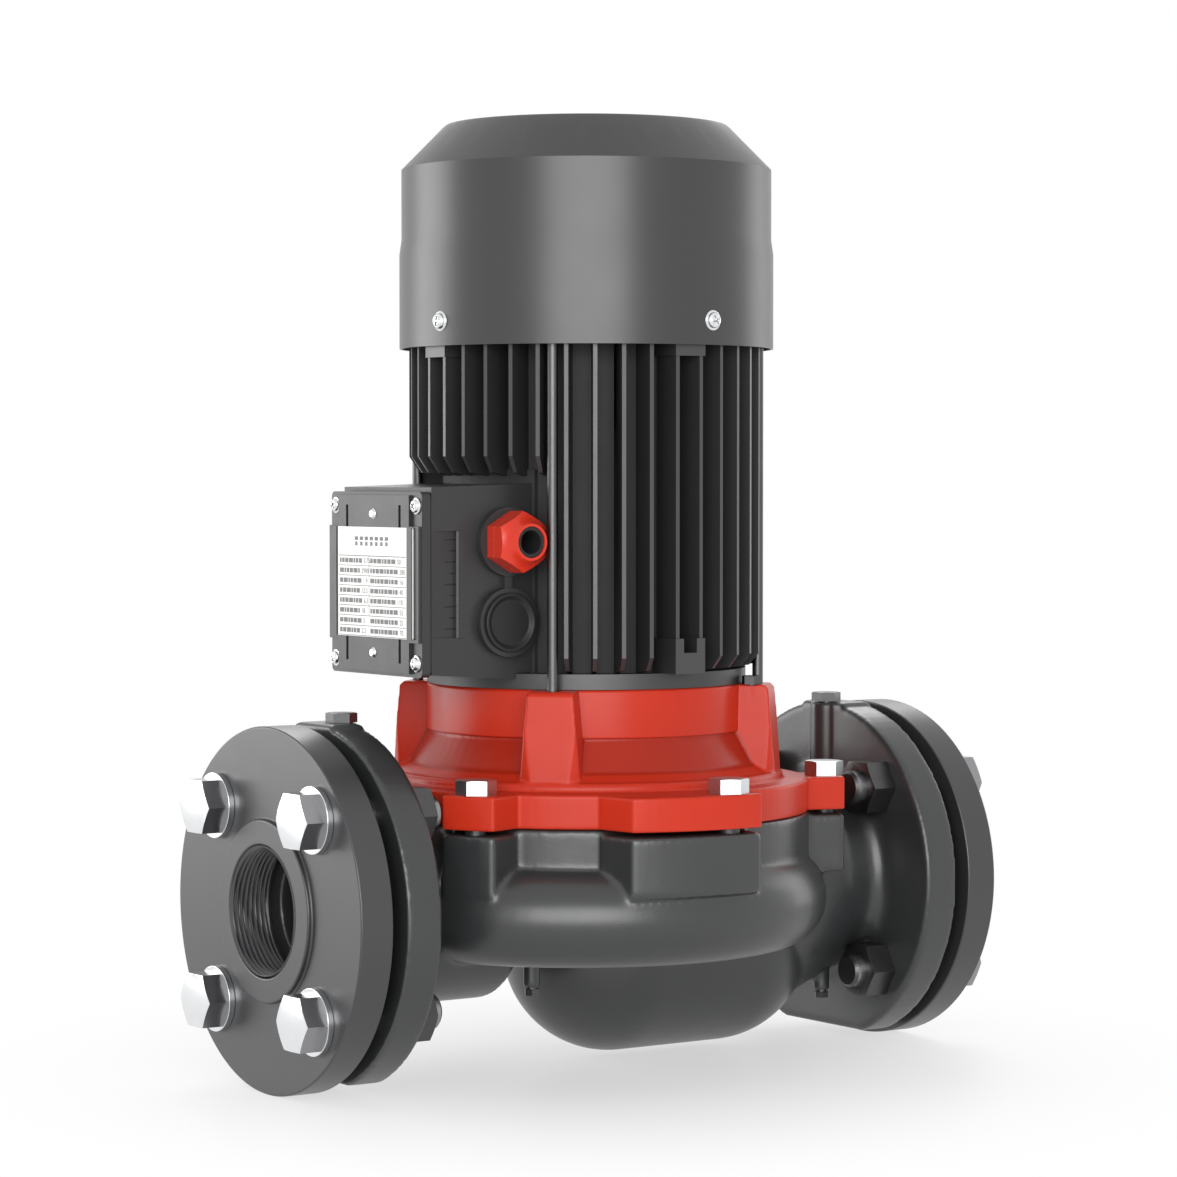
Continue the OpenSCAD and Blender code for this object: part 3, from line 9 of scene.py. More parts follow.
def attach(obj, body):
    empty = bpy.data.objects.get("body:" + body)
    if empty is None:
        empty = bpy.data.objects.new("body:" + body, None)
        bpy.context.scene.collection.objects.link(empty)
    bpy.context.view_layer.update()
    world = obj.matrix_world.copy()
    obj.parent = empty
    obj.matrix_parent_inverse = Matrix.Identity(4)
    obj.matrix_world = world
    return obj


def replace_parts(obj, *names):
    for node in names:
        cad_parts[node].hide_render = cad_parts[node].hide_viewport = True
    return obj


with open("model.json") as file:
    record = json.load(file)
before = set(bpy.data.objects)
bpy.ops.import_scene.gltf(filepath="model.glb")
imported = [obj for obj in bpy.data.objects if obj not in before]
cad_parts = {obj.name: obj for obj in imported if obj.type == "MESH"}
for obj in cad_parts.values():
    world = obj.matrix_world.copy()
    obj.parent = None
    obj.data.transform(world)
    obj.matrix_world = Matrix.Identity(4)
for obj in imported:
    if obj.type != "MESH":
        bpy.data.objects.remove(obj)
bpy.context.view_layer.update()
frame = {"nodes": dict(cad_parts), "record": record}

mm = 0.001
motorX = -0.0047
pipeZ = 0.0825
print("frame loaded,", len(frame["nodes"]), "nodes")


class Wire:
    # a node's output, usable in plain Python sums
    def __init__(self, graph, socket):
        self.graph = graph
        self.socket = socket

    def sum(self, operation, first, second):
        return self.graph.node("ShaderNodeMath", {"operation": operation}, {0: first, 1: second})

    def __add__(self, other):
        return self.sum("ADD", self, other)

    def __radd__(self, other):
        return self.sum("ADD", other, self)

    def __sub__(self, other):
        return self.sum("SUBTRACT", self, other)

    def __rsub__(self, other):
        return self.sum("SUBTRACT", other, self)

    def __mul__(self, other):
        return self.sum("MULTIPLY", self, other)

    def __rmul__(self, other):
        return self.sum("MULTIPLY", other, self)


class Graph:
    # a node tree; every node that isn't there from the start comes from node()
    def __init__(self, tree):
        self.tree = tree

    def node(self, kind, settings=None, sockets=None, output=0):
        made = self.tree.nodes.new(kind)
        for key, value in (settings or {}).items():
            setattr(made, key, value)
        for key, value in (sockets or {}).items():
            self.join(made.inputs[key], value)
        return Wire(self, made.outputs[output])

    def join(self, target, value):
        if isinstance(value, Wire):
            self.tree.links.new(value.socket, target)
        else:
            target.default_value = value

    def vector(self, operation, first, second=None, output=0):
        sockets = {0: first} if second is None else {0: first, 1: second}
        return self.node("ShaderNodeVectorMath", {"operation": operation}, sockets, output)

    def larger(self, first, second):
        return self.node("ShaderNodeMath", {"operation": "MAXIMUM"}, {0: first, 1: second})

    def ramp(self, value, low, high, least=0.0):
        # goes softly from least to 1 between low and high
        return self.node("ShaderNodeMapRange", {"interpolation_type": "SMOOTHSTEP"},
                         {0: value, 1: low, 2: high, 3: least, 4: 1.0})


# the part of the red bracket that is painted darker as shade, a flare under its band, in millimetres
flare = {"top": 158.0, "topSoft": (-0.2, 0.1), "radius": 75.4, "widening": 0.5, "sideSoft": 0.4}


class Finish(Graph):
    # one material and its shader
    def __init__(self, name, **values):
        self.material = bpy.data.materials.new(name)
        self.material.use_nodes = True
        super().__init__(self.material.node_tree)
        self.shader = self.tree.nodes["Principled BSDF"]
        for key, value in values.items():
            self.shader.inputs[key].default_value = value
        self.place = self.node("ShaderNodeTexCoord", output="Object")

    def feed(self, name, value):
        self.join(self.shader.inputs[name], value)

    def noise(self, size, detail):
        # clouds about size metres across, 0 to 1
        return self.node("ShaderNodeTexNoise", None,
                         {"Vector": self.place, "Scale": 1 / size, "Detail": detail})

    def tint(self, mask, first, second, under=None):
        # colour that goes from first to second with the mask, multiplied by the one under it
        mixed = self.node("ShaderNodeMix", {"data_type": "RGBA"},
                          {0: mask, 6: (*first, 1), 7: (*second, 1)}, 2)
        if under is None:
            return mixed
        return self.node("ShaderNodeMix", {"data_type": "RGBA", "blend_type": "MULTIPLY"},
                         {0: 1.0, 6: under, 7: mixed}, 2)

    def flareShadeMask(self):
        # 1 on the flare round the motor axis, where its colour gets painted shade, 0 above it and on the
        # pylons
        flat = self.vector("MULTIPLY", self.vector("SUBTRACT", self.place, (motorX, 0, 0)), (1, 1, 0))
        away = self.vector("LENGTH", flat, output="Value")
        level = self.vector("DOT_PRODUCT", self.place, (0, 0, 1), "Value")
        low, high = ((flare["top"] + step) * mm for step in flare["topSoft"])
        below = 1 - self.ramp(level, low, high)
        limit, soft = flare["radius"] + flare["top"] * flare["widening"], flare["sideSoft"]
        past = self.ramp(away + level * flare["widening"], (limit - soft) * mm, (limit + soft) * mm)
        return below * (1 - past)

    def bump(self, height, depth):
        # height is 0 to 1, depth in metres
        return self.node("ShaderNodeBump", None, {"Strength": 1.0, "Distance": depth, "Height": height})


def scaled(colour, factor):
    return tuple(min(1, part * factor) for part in colour)


# how fine the noises are, and the bump's depth in metres
paint = {"cloudDetail": 3, "glossDetail": 4, "glossSize": 0.4, "grainDetail": 3, "waveDetail": 1,
         "bumpDepth": 1 * mm}


def paintOn(name, look):
    # small changes of shade, gloss and level over plain paint, plastic or metal
    finish = Finish(name, **{"Metallic": look.get("metal", 0.0), "Specular IOR Level": look.get("shine", 0.5)})
    colour, change = look["colour"], look["change"]
    clouds = finish.noise(look["cloudSize"], paint["cloudDetail"])
    shade = finish.tint(clouds, scaled(colour, 1 - change), scaled(colour, 1 + change))
    # the flare under the bracket's band is painted darker, a painted shade of the recess under its ledge
    if "paintedShade" in look:
        shade = finish.tint(finish.flareShadeMask(), (1, 1, 1), (look["paintedShade"],) * 3, shade)
    finish.feed("Base Color", shade)
    gloss = finish.noise(look["cloudSize"] * paint["glossSize"], paint["glossDetail"])
    finish.feed("Roughness", gloss * (2 * look["roughChange"]) + (look["rough"] - look["roughChange"]))
    grain = finish.noise(look["grainSize"], paint["grainDetail"]) * look["grain"]
    wave = finish.noise(look["waveSize"], paint["waveDetail"]) * look["wave"]
    finish.feed("Normal", finish.bump(grain + wave, paint["bumpDepth"]))
    return finish.material


# sizes in metres; change and roughChange are the swing to each side
looks = {
    "darkCast": {"colour": (0.024, 0.025, 0.026), "change": 0.10, "cloudSize": 0.030, "rough": 0.32,
                 "roughChange": 0.05, "grainSize": 0.0011, "grain": 0.035, "waveSize": 0.012, "wave": 0.10,
                 "shine": 0.70},
    "darkTurned": {"colour": (0.026, 0.026, 0.028), "change": 0.06, "cloudSize": 0.040, "rough": 0.36,
                   "roughChange": 0.04, "grainSize": 0.0006, "grain": 0.012, "waveSize": 0.020, "wave": 0.03,
                   "shine": 0.72},
    "redCast": {"colour": (0.500, 0.028, 0.010), "change": 0.07, "cloudSize": 0.030, "rough": 0.33,
                "roughChange": 0.05, "grainSize": 0.0011, "grain": 0.030, "waveSize": 0.012, "wave": 0.08,
                # paintedShade darkens the flare under the band, a painted shade
                "shine": 0.24, "paintedShade": 0.70},
    "cowlPaint": {"colour": (0.022, 0.022, 0.024), "change": 0.04, "cloudSize": 0.060, "rough": 0.34,
                  "roughChange": 0.03, "grainSize": 0.0005, "grain": 0.016, "waveSize": 0.030, "wave": 0.05,
                  "shine": 0.68},
    "motorPaint": {"colour": (0.024, 0.024, 0.025), "change": 0.08, "cloudSize": 0.030, "rough": 0.55,
                   "roughChange": 0.05, "grainSize": 0.0007, "grain": 0.020, "waveSize": 0.010, "wave": 0.04,
                   "shine": 0.25},
    # the fins' outer ends are painted lighter than the motor paint, a painted highlight; their gloss differs
    # too
    "finTipHighlight": {"colour": (0.030, 0.030, 0.031), "change": 0.08, "cloudSize": 0.030, "rough": 0.36,
               "roughChange": 0.05, "grainSize": 0.0007, "grain": 0.014, "waveSize": 0.010, "wave": 0.03,
               "shine": 0.70},
    "bareRing": {"colour": (0.080, 0.080, 0.081), "change": 0.06, "cloudSize": 0.020, "rough": 0.45,
                 "roughChange": 0.04, "grainSize": 0.0005, "grain": 0.012, "waveSize": 0.010, "wave": 0.02,
                 "metal": 1.0},
    "boxPaint": {"colour": (0.026, 0.026, 0.027), "change": 0.06, "cloudSize": 0.030, "rough": 0.38,
                 "roughChange": 0.05, "grainSize": 0.0006, "grain": 0.018, "waveSize": 0.010, "wave": 0.03,
                 "shine": 0.46},
    "redPlastic": {"colour": (0.580, 0.032, 0.014), "change": 0.04, "cloudSize": 0.010, "rough": 0.26,
                   "roughChange": 0.04, "grainSize": 0.0004, "grain": 0.003, "waveSize": 0.006, "wave": 0.01,
                   "shine": 0.35},
    "darkPlastic": {"colour": (0.018, 0.018, 0.019), "change": 0.06, "cloudSize": 0.020, "rough": 0.45,
                    "roughChange": 0.05, "grainSize": 0.0004, "grain": 0.012, "waveSize": 0.006, "wave": 0.01,
                    "shine": 0.3},
    "rubber": {"colour": (0.016, 0.016, 0.017), "change": 0.10, "cloudSize": 0.012, "rough": 0.62,
               "roughChange": 0.06, "grainSize": 0.0005, "grain": 0.020, "waveSize": 0.006, "wave": 0.02,
               "shine": 0.3},
    "plate": {"colour": (0.780, 0.780, 0.760), "change": 0.02, "cloudSize": 0.030, "rough": 0.32,
              "roughChange": 0.03, "grainSize": 0.0005, "grain": 0.003, "waveSize": 0.020, "wave": 0.02},
    "ink": {"colour": (0.030, 0.030, 0.032), "change": 0.05, "cloudSize": 0.010, "rough": 0.45,
            "roughChange": 0.03, "grainSize": 0.0004, "grain": 0.004, "waveSize": 0.010, "wave": 0.01},
    "greyInk": {"colour": (0.120, 0.120, 0.120), "change": 0.05, "cloudSize": 0.010, "rough": 0.45,
                "roughChange": 0.03, "grainSize": 0.0004, "grain": 0.004, "waveSize": 0.010, "wave": 0.01},
    "zinc": {"colour": (0.740, 0.750, 0.760), "change": 0.03, "cloudSize": 0.008, "rough": 0.22,
             "roughChange": 0.02, "grainSize": 0.0006, "grain": 0.004, "waveSize": 0.005, "wave": 0.02,
             "metal": 1.0},
    # darker zinc for the flanks of the flange bolt heads, a painted shade beside their lit faces
    "shadedZincFlank": {"colour": (0.300, 0.300, 0.310), "change": 0.05, "cloudSize": 0.008, "rough": 0.30,
                  "roughChange": 0.03, "grainSize": 0.0006, "grain": 0.006, "waveSize": 0.005, "wave": 0.02,
                  "metal": 1.0},
    "darkZinc": {"colour": (0.100, 0.100, 0.100), "change": 0.10, "cloudSize": 0.008, "rough": 0.36,
                 "roughChange": 0.06, "grainSize": 0.0006, "grain": 0.012, "waveSize": 0.005, "wave": 0.03,
                 "metal": 1.0},
    "steel": {"colour": (0.500, 0.510, 0.520), "change": 0.06, "cloudSize": 0.010, "rough": 0.32,
              "roughChange": 0.06, "grainSize": 0.0006, "grain": 0.010, "waveSize": 0.005, "wave": 0.02,
              "metal": 1.0},
    "brass": {"colour": (0.620, 0.420, 0.160), "change": 0.08, "cloudSize": 0.010, "rough": 0.34,
              "roughChange": 0.07, "grainSize": 0.0006, "grain": 0.012, "waveSize": 0.006, "wave": 0.03,
              "metal": 1.0},
    "copper": {"colour": (0.580, 0.240, 0.090), "change": 0.10, "cloudSize": 0.004, "rough": 0.35,
               "roughChange": 0.06, "grainSize": 0.0008, "grain": 0.12, "waveSize": 0.006, "wave": 0.05,
               "metal": 1.0},
    "ceramic": {"colour": (0.800, 0.760, 0.680), "change": 0.03, "cloudSize": 0.010, "rough": 0.30,
                "roughChange": 0.04, "grainSize": 0.0004, "grain": 0.004, "waveSize": 0.006, "wave": 0.01},
    "board": {"colour": (0.550, 0.440, 0.260), "change": 0.06, "cloudSize": 0.010, "rough": 0.50,
              "roughChange": 0.05, "grainSize": 0.0005, "grain": 0.02, "waveSize": 0.006, "wave": 0.02},
}
finishes = {name: paintOn(name, look) for name, look in looks.items()}

finishOfSlot = {
    "dark_casting": "darkCast", "machined_flange": "darkTurned", "red_casting": "redCast",
    "cowl_sheet": "cowlPaint", "motor_aluminium": "motorPaint", "zinc": "zinc", "steel": "steel",
    "brass": "brass", "rubber": "rubber", "ceramic": "ceramic", "copper": "copper", "plate": "plate",
    "red_plastic": "redPlastic", "dark_plastic": "darkPlastic", "board": "board",
}
slotOfNode = {part["node"]: part["material_slot"] for part in frame["record"]["subparts"]}
bodyOfNode = {node: body for body, nodes in frame["record"]["behaviour"]["bodies"].items() for node in nodes}

for node, solid in frame["nodes"].items():
    solid.data.materials.clear()
    solid.data.materials.append(finishes[finishOfSlot[slotOfNode[node]]])
print("finishes made")


# distance in metres below which points are one, and angle in degrees below which faces are one
cleaning = {"weld": 2e-6, "flatAngle": 0.3}


def addObject(name, data):
    thing = bpy.data.objects.new(name, data)
    bpy.context.collection.objects.link(thing)
    return thing


def addPiece(name, mesh, finish, body="pump"):
    piece = addObject(name, mesh)
    mesh.materials.clear()
    mesh.materials.append(finishes[finish])
    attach(piece, body)
    return piece


def shapeOf(thing):
    # the mesh that an object's curve or modifiers make
    graph = bpy.context.evaluated_depsgraph_get()
    graph.update()
    return bpy.data.meshes.new_from_object(thing.evaluated_get(graph))


def settle(piece):
    # keeps what the modifiers made and drops the modifiers
    made = shapeOf(piece)
    piece.modifiers.clear()
    piece.data = made


def meshOf(name, bm):
    mesh = bpy.data.meshes.new(name)
    bm.to_mesh(mesh)
    bm.free()
    return mesh


def pour(bm, mesh):
    # adds a mesh and gives back its points
    old = set(bm.verts)
    bm.from_mesh(mesh)
    return [vert for vert in bm.verts if vert not in old]


def smoothed(mesh):
    for face in mesh.polygons:
        face.use_smooth = True
    return mesh


def surfaceOf(node):
    # a copy of a node's surface with its points joined
    bm = bmesh.new()
    bm.from_mesh(frame["nodes"][node].data)
    bmesh.ops.remove_doubles(bm, verts=bm.verts, dist=cleaning["weld"])
    return bm


def addSkin(node, finish):
    # a piece with the node's own shape, its flat faces joined
    name = node + "Skin"
    bm = surfaceOf(node)
    angle = math.radians(cleaning["flatAngle"])
    bmesh.ops.dissolve_limit(bm, angle_limit=angle, verts=bm.verts, edges=bm.edges)
    mesh = smoothed(meshOf(name, bm))
    if "custom_normal" in mesh.attributes:
        mesh.attributes.remove(mesh.attributes["custom_normal"])
    return addPiece(name, mesh, finish, bodyOfNode[node])


def carve(piece, cutter, operation="DIFFERENCE"):
    # takes a mesh away from a piece, or joins it on
    tool = addObject("cutter", cutter)
    cut = piece.modifiers.new("cut", "BOOLEAN")
    cut.operation = operation
    cut.solver = "EXACT"
    cut.use_self = True
    cut.object = tool
    settle(piece)
    bpy.data.objects.remove(tool)


def block(bm, low, high):
    # box between two corners, in millimetres
    made = bmesh.ops.create_cube(bm, size=1.0)["verts"]
    low, high = Vector(low) * mm, Vector(high) * mm
    bmesh.ops.scale(bm, vec=high - low, verts=made)
    bmesh.ops.translate(bm, vec=(low + high) / 2, verts=made)
    return made


def prism(bm, first, second):
    # solid between two outlines that have the same number of points
    rows = [[bm.verts.new(point) for point in outline] for outline in (first, second)]
    for row in rows:
        bm.faces.new(row)
    for here in range(len(first)):
        after = (here + 1) % len(first)
        bm.faces.new((rows[0][here], rows[0][after], rows[1][after], rows[1][here]))


def inMetres(profile):
    return [(radius * mm, height * mm) for radius, height in profile]


def lathe(name, profile, sides, cut=None, inward=False):
    # skin turned about Z through (radius, height) points; cut tells how deep a thread goes there
    bm = bmesh.new()
    rings = []
    for radius, height in profile:
        ring = []
        for step in range(sides if radius else 1):
            turn = step / sides
            reach = radius - (cut(height, turn) if cut else 0)
            way = 2 * math.pi * turn
            ring.append(bm.verts.new((reach * math.cos(way), reach * math.sin(way), height)))
        rings.append(ring)
    for low, high in zip(rings, rings[1:]):
        for step in range(sides):
            after = (step + 1) % sides
            corners = [ring[place % len(ring)] for ring, place in
                       ((low, step), (low, after), (high, after), (high, step))]
            face = bm.faces.new(list(dict.fromkeys(reversed(corners) if inward else corners)))
            face.smooth = cut is None
    return meshOf(name, bm)


def threadCut(pitch, depth, end):
    # depth of a screw thread at a height and a part of a turn, running out at the end
    def deep(height, turn):
        wave = 1 - abs(2 * ((height / pitch - turn) % 1) - 1)
        return depth * wave * max(0, min(1, (end - height) / pitch))
    return deep


def steps(low, high, count):
    return [low + (high - low) * step / count for step in range(count + 1)]


def pointed(place, way, side="X"):
    # carries a shape that stands on Z to a place and points it the given way
    return Matrix.Translation(place) @ way.to_track_quat("Z", side).to_matrix().to_4x4()


def aroundMotor(turn):
    return Matrix.Translation((motorX, 0, 0)) @ Matrix.Rotation(math.radians(turn), 4, "Z")


# a coarser voxel, in millimetres, or more rounds give rounder corners
castings = {"volute_casing": {"finish": "darkCast", "voxel": 1.2, "rounds": 9, "smoothing": 0.5},
            "motor_bracket": {"finish": "redCast", "voxel": 0.75, "rounds": 3, "smoothing": 0.5}}


def dressCasting(node, finish, voxel, rounds, smoothing):
    # the node's shape as a foundry makes it, every corner filled or worn to a radius
    piece = addSkin(node, finish)
    remesh = piece.modifiers.new("skin", "REMESH")
    remesh.mode = "VOXEL"
    remesh.voxel_size = voxel * mm
    remesh.use_smooth_shade = True
    smooth = piece.modifiers.new("radii", "SMOOTH")
    smooth.factor = smoothing
    smooth.iterations = rounds
    settle(piece)
    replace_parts(piece, node)


for node, look in castings.items():
    dressCasting(node, **look)

# upper band of the bracket, in millimetres; each edge is (out from the radius, up from the height)
band = {"radius": 75.0, "low": 158.0, "high": 180.0, "sides": 160,
        "lowEdge": ((-2.5, 0), (-0.8, 0), (-0.3, 0), (-0.08, 0.08), (0, 0.3), (0, 0.8)),
        "highEdge": ((0, -1.6), (-0.1, -1.0), (-0.6, -0.4), (-1.2, -0.1))}


def bracketBand():
    # stands proud of the flare, with a sharp lower edge
    profile = [(band["radius"] + out, band[end] + up) for end in ("low", "high")
               for out, up in band[end + "Edge"]]
    mesh = lathe("bracketBand", inMetres(profile), band["sides"])
    mesh.transform(aroundMotor(0))
    return mesh


addPiece("bracketBand", bracketBand(), "redCast")
print("castings dressed")


bevel = {"segments": 2, "sharpAngle": 30}
# finish of each node, and the width of its broken edges in millimetres
brokenEdges = {
    "inlet_counter_flange": ("darkTurned", 0.9), "outlet_counter_flange": ("darkTurned", 0.9),
    "inlet_flange_bolts": ("zinc", 0.3), "outlet_flange_bolts": ("zinc", 0.3),
    "inlet_flange_nuts": ("darkZinc", 0.3), "outlet_flange_nuts": ("darkZinc", 0.3),
    "inlet_flange_washers": ("zinc", 0.3), "outlet_flange_washers": ("zinc", 0.3),
    "inlet_gauge_plug": ("darkCast", 0.3), "outlet_gauge_plug": ("darkCast", 0.3),
    "drain_plugs": ("darkZinc", 0.3), "casing_bolts": ("steel", 0.3), "earth_screw": ("darkZinc", 0.2),
    "tie_bolts": ("darkZinc", 0.2), "terminal_box": ("boxPaint", 0.5), "terminal_box_cover": ("boxPaint", 0.5),
    "box_cover_screws": ("zinc", 0.2), "cowl_screws": ("zinc", 0.2), "nameplate": ("plate", 0.1),
    "nameplate_rivets": ("zinc", 0.1), "gland_body": ("redPlastic", 0.4), "gland_cap": ("redPlastic", 0.3),
}


def dress(node, finish, edge, shape=None):
    # the node's own shape with broken edges, after shape has changed it
    piece = addSkin(node, finish)
    if shape:
        shape(piece)
    rounding = piece.modifiers.new("edges", "BEVEL")
    rounding.width = edge * mm
    rounding.segments = bevel["segments"]
    rounding.limit_method = "ANGLE"
    rounding.angle_limit = math.radians(bevel["sharpAngle"])
    rounding.harden_normals = True
    settle(piece)
    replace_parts(piece, node)
    return piece


dressed = {node: dress(node, finish, edge) for node, (finish, edge) in brokenEdges.items()}


# cowl, fins and foot pads of the motor frame, in millimetres and degrees, heights from the floor
cowl = {"edge": 0.5, "ease": 6.0, "outerBand": 0.2, "topBand": 0.3}
fins = {"edge": 0.35, "count": 40, "tip": 83.2, "past": 2.0, "cut": 6.0, "half": 1.5, "lift": 0.1,
        "foot": 187.0, "rise": 7.5, "footAboveBox": 276.5, "riseAboveBox": 9.0, "boxTurn": 180, "boxAngle": 42}
pads = {"turns": (-90, 0, 90), "finAngle": 6, "foot": 187.0, "front": 83.8, "deep": 5.3, "half": 3.6,
        "notchFloor": 196.5, "notchTop": 204.0, "notchBack": 67.0, "past": 1.0}


def easeSeam(piece):
    # lengthens the small step at the top of the cowl's widest part
    reach = {vert: math.hypot(vert.co.x - motorX, vert.co.y) for vert in piece.data.vertices}
    outer = [vert for vert in reach if reach[vert] > max(reach.values()) - cowl["outerBand"] * mm]
    top = max(vert.co.z for vert in outer)
    for vert in outer:
        if vert.co.z > top - cowl["topBand"] * mm:
            vert.co.z -= cowl["ease"] * mm


def finCorners():
    # wedges that take the lower outer corner off every fin but those above the foot pads
    bm = bmesh.new()
    inner, outer = fins["tip"] - fins["cut"], fins["tip"] + fins["past"]
    for number in range(fins["count"]):
        turn = (number + 0.5) * 360 / fins["count"]
        if min(abs((turn - pad + 180) % 360 - 180) for pad in pads["turns"]) < pads["finAngle"]:
            continue
        where = "AboveBox" if abs(turn - fins["boxTurn"]) < fins["boxAngle"] else ""
        foot, rise = fins["foot" + where], fins["rise" + where] * (outer - inner) / fins["cut"]
        outline = [(inner, foot + fins["lift"]), (outer, foot + fins["lift"]), (outer, foot + rise)]
        prism(bm, *([aroundMotor(turn) @ (Vector((r, side, z)) * mm) for r, z in outline]
                    for side in (-fins["half"], fins["half"])))
    bmesh.ops.recalc_face_normals(bm, faces=bm.faces)
    return meshOf("finCorners", bm)


def padBlocks(name, back, front, low, high):
    # the same block in the middle of each foot pad
    bm = bmesh.new()
    for turn in pads["turns"]:
        verts = block(bm, (back, -pads["half"], low), (front, pads["half"], high))
        bmesh.ops.transform(bm, matrix=aroundMotor(turn), verts=verts)
    return meshOf(name, bm)


def shapeFrame(piece):
    # fins with their lower corners off, and foot pads with a notch that is open at the top
    front, floor = pads["front"], pads["notchFloor"]
    carve(piece, finCorners())
    carve(piece, padBlocks("padFill", front - pads["deep"], front, pads["foot"], floor), "UNION")
    carve(piece, padBlocks("padNotch", pads["notchBack"], front + pads["past"], floor, pads["notchTop"]))
    smoothed(piece.data)


dress("fan_cowl", "cowlPaint", cowl["edge"], easeSeam)
dressed["motor_frame"] = dress("motor_frame", "motorPaint", fins["edge"], shapeFrame)

# where a piece changes its finish: heights and radius in metres, flatPart is a share of a face's normal
faceting = {"flatPart": 0.5, "boltShankTop": 0.120, "ringTop": 0.1868, "tipR": 0.0785}


def splitOff(piece, name, finish, chosen):
    # gives the chosen faces of a piece another finish, as a piece of their own
    kept = bmesh.new()
    kept.from_mesh(piece.data)
    taken = kept.copy()
    bmesh.ops.delete(kept, geom=[face for face in kept.faces if chosen(face)], context="FACES")
    bmesh.ops.delete(taken, geom=[face for face in taken.faces if not chosen(face)], context="FACES")
    other = piece.data.copy()
    kept.to_mesh(piece.data)
    taken.to_mesh(other)
    kept.free()
    taken.free()
    addPiece(name, other, finish)


def outwardTip(face):
    # a face on the outer end of a fin that looks away from the motor
    out = (face.calc_center_median() - Vector((motorX, 0, 0))) * Vector((1, 1, 0))
    return out.length > faceting["tipR"] and face.normal.dot(out.normalized()) > faceting["flatPart"]


# the flanks of the flange bolt heads get the darker zinc, a painted shade
for side in ("inlet", "outlet"):
    splitOff(dressed[side + "_flange_bolts"], side + "BoltShadedFlanks", "shadedZincFlank",
             lambda face: abs(face.normal.x) < faceting["flatPart"])
splitOff(dressed["casing_bolts"], "casingBoltShanks", "darkCast",
         lambda face: face.calc_center_median().z < faceting["boltShankTop"])
splitOff(dressed["motor_frame"], "barrelRing", "bareRing",
         lambda face: face.calc_center_median().z < faceting["ringTop"])
# the fins' outer ends take the lighter paint, a painted highlight
splitOff(dressed["motor_frame"], "finTipHighlights", "finTipHighlight", outwardTip)
print("fasteners, motor and box dressed")

# how far from its end a fastener's tip is looked for, in millimetres, and the turn of each, in radians
fastening = {"tipBand": 0.02, "turnStep": 0.7}


def islandsOf(node):
    # the points of every loose part of a node
    bm = surfaceOf(node)
    bm.verts.ensure_lookup_table()
    islands = []
    left = set(bm.verts)
    for vert in bm.verts:
        if vert not in left:
            continue
        left.remove(vert)
        island = [vert]
        for one in island:
            for edge in one.link_edges:
                other = edge.other_vert(one)
                if other in left:
                    left.remove(other)
                    island.append(other)
        islands.append([one.co.copy() for one in island])
    bm.free()
    return islands


def middleOf(points):
    return sum(points, Vector()) / len(points)


def spotsOf(node, outward, back):
    # a place on the axis of every loose part, back millimetres in from its outer end, and the way it points
    spots = []
    for points in islandsOf(node):
        way = outward(middleOf(points))
        reach = max(point.dot(way) for point in points)
        tip = [point for point in points if point.dot(way) > reach - fastening["tipBand"] * mm]
        spots.append((middleOf(tip) - way * back * mm, way))
    return spots


def swapEnds(node, outward, back, reach, end, name, finish):
    # cuts the fasteners off back millimetres from their ends; the finer ends are a piece of their own
    bm = bmesh.new()
    bm.from_mesh(dressed[node].data)
    made = bmesh.new()
    for number, (seat, way) in enumerate(spotsOf(node, outward, back)):
        near = [face for face in bm.faces if (face.calc_center_median() - seat).cross(way).length < reach * mm]
        parts = list({part for face in near for part in [face, *face.edges, *face.verts]})
        bmesh.ops.bisect_plane(bm, geom=parts, plane_co=seat, plane_no=way, clear_outer=True)
        turned = pointed(seat, way) @ Matrix.Rotation(fastening["turnStep"] * number, 4, "Z")
        bmesh.ops.transform(made, matrix=turned, verts=pour(made, end))
    bm.to_mesh(dressed[node].data)
    bm.free()
    addPiece(name, meshOf(name, made), finish)


# threads, in millimetres; mouthX, where the port's thread starts, is in metres
boltTail = {"radius": 8.0, "pitch": 2.0, "depth": 1.2, "length": 9.0, "tip": 1.3, "tipRings": (0.5, 1.0),
            "rings": 24, "sides": 36, "reach": 10.0}
port = {"radius": 29.75, "pitch": 2.309, "depth": 1.45, "length": 21.0, "rings": 56, "sides": 96,
        "mouthX": 0.1797}


def threadedTail():
    # threaded end of a flange bolt, from inside the nut to the turned tip
    radius, length, tip = (boltTail[key] * mm for key in ("radius", "length", "tip"))
    cut = threadCut(boltTail["pitch"] * mm, boltTail["depth"] * mm, length)
    profile = [(radius, height) for height in steps(0, length - tip, boltTail["rings"])]
    profile += [(radius - tip * part, length - tip + tip * part) for part in boltTail["tipRings"]]
    profile.append((0, length))
    return lathe("boltTail", profile, boltTail["sides"],
                 lambda height, turn: cut(height, turn) if height < length - tip else 0)


def portThread(name, side):
    # thread in a port's mouth, side is 1 for the port at +X
    radius, length = port["radius"] * mm, port["length"] * mm
    cut = threadCut(port["pitch"] * mm, port["depth"] * mm, length)
    profile = [(radius, height) for height in steps(0, length, port["rings"])]
    mesh = lathe(name, profile, port["sides"], cut, inward=True)
    mesh.transform(pointed((side * port["mouthX"], 0, pipeZ), Vector((-side, 0, 0)), "Y"))
    addPiece(name, mesh, "darkTurned")


tail = threadedTail()
for end, side in (("inlet", -1), ("outlet", 1)):
    swapEnds(end + "_flange_bolts", lambda middle: Vector((side, 0, 0)), boltTail["length"], boltTail["reach"],
             tail, end + "BoltTails", "darkZinc")
portThread("inletPortThread", 1)
portThread("outletPortThread", -1)
print("threads cut")


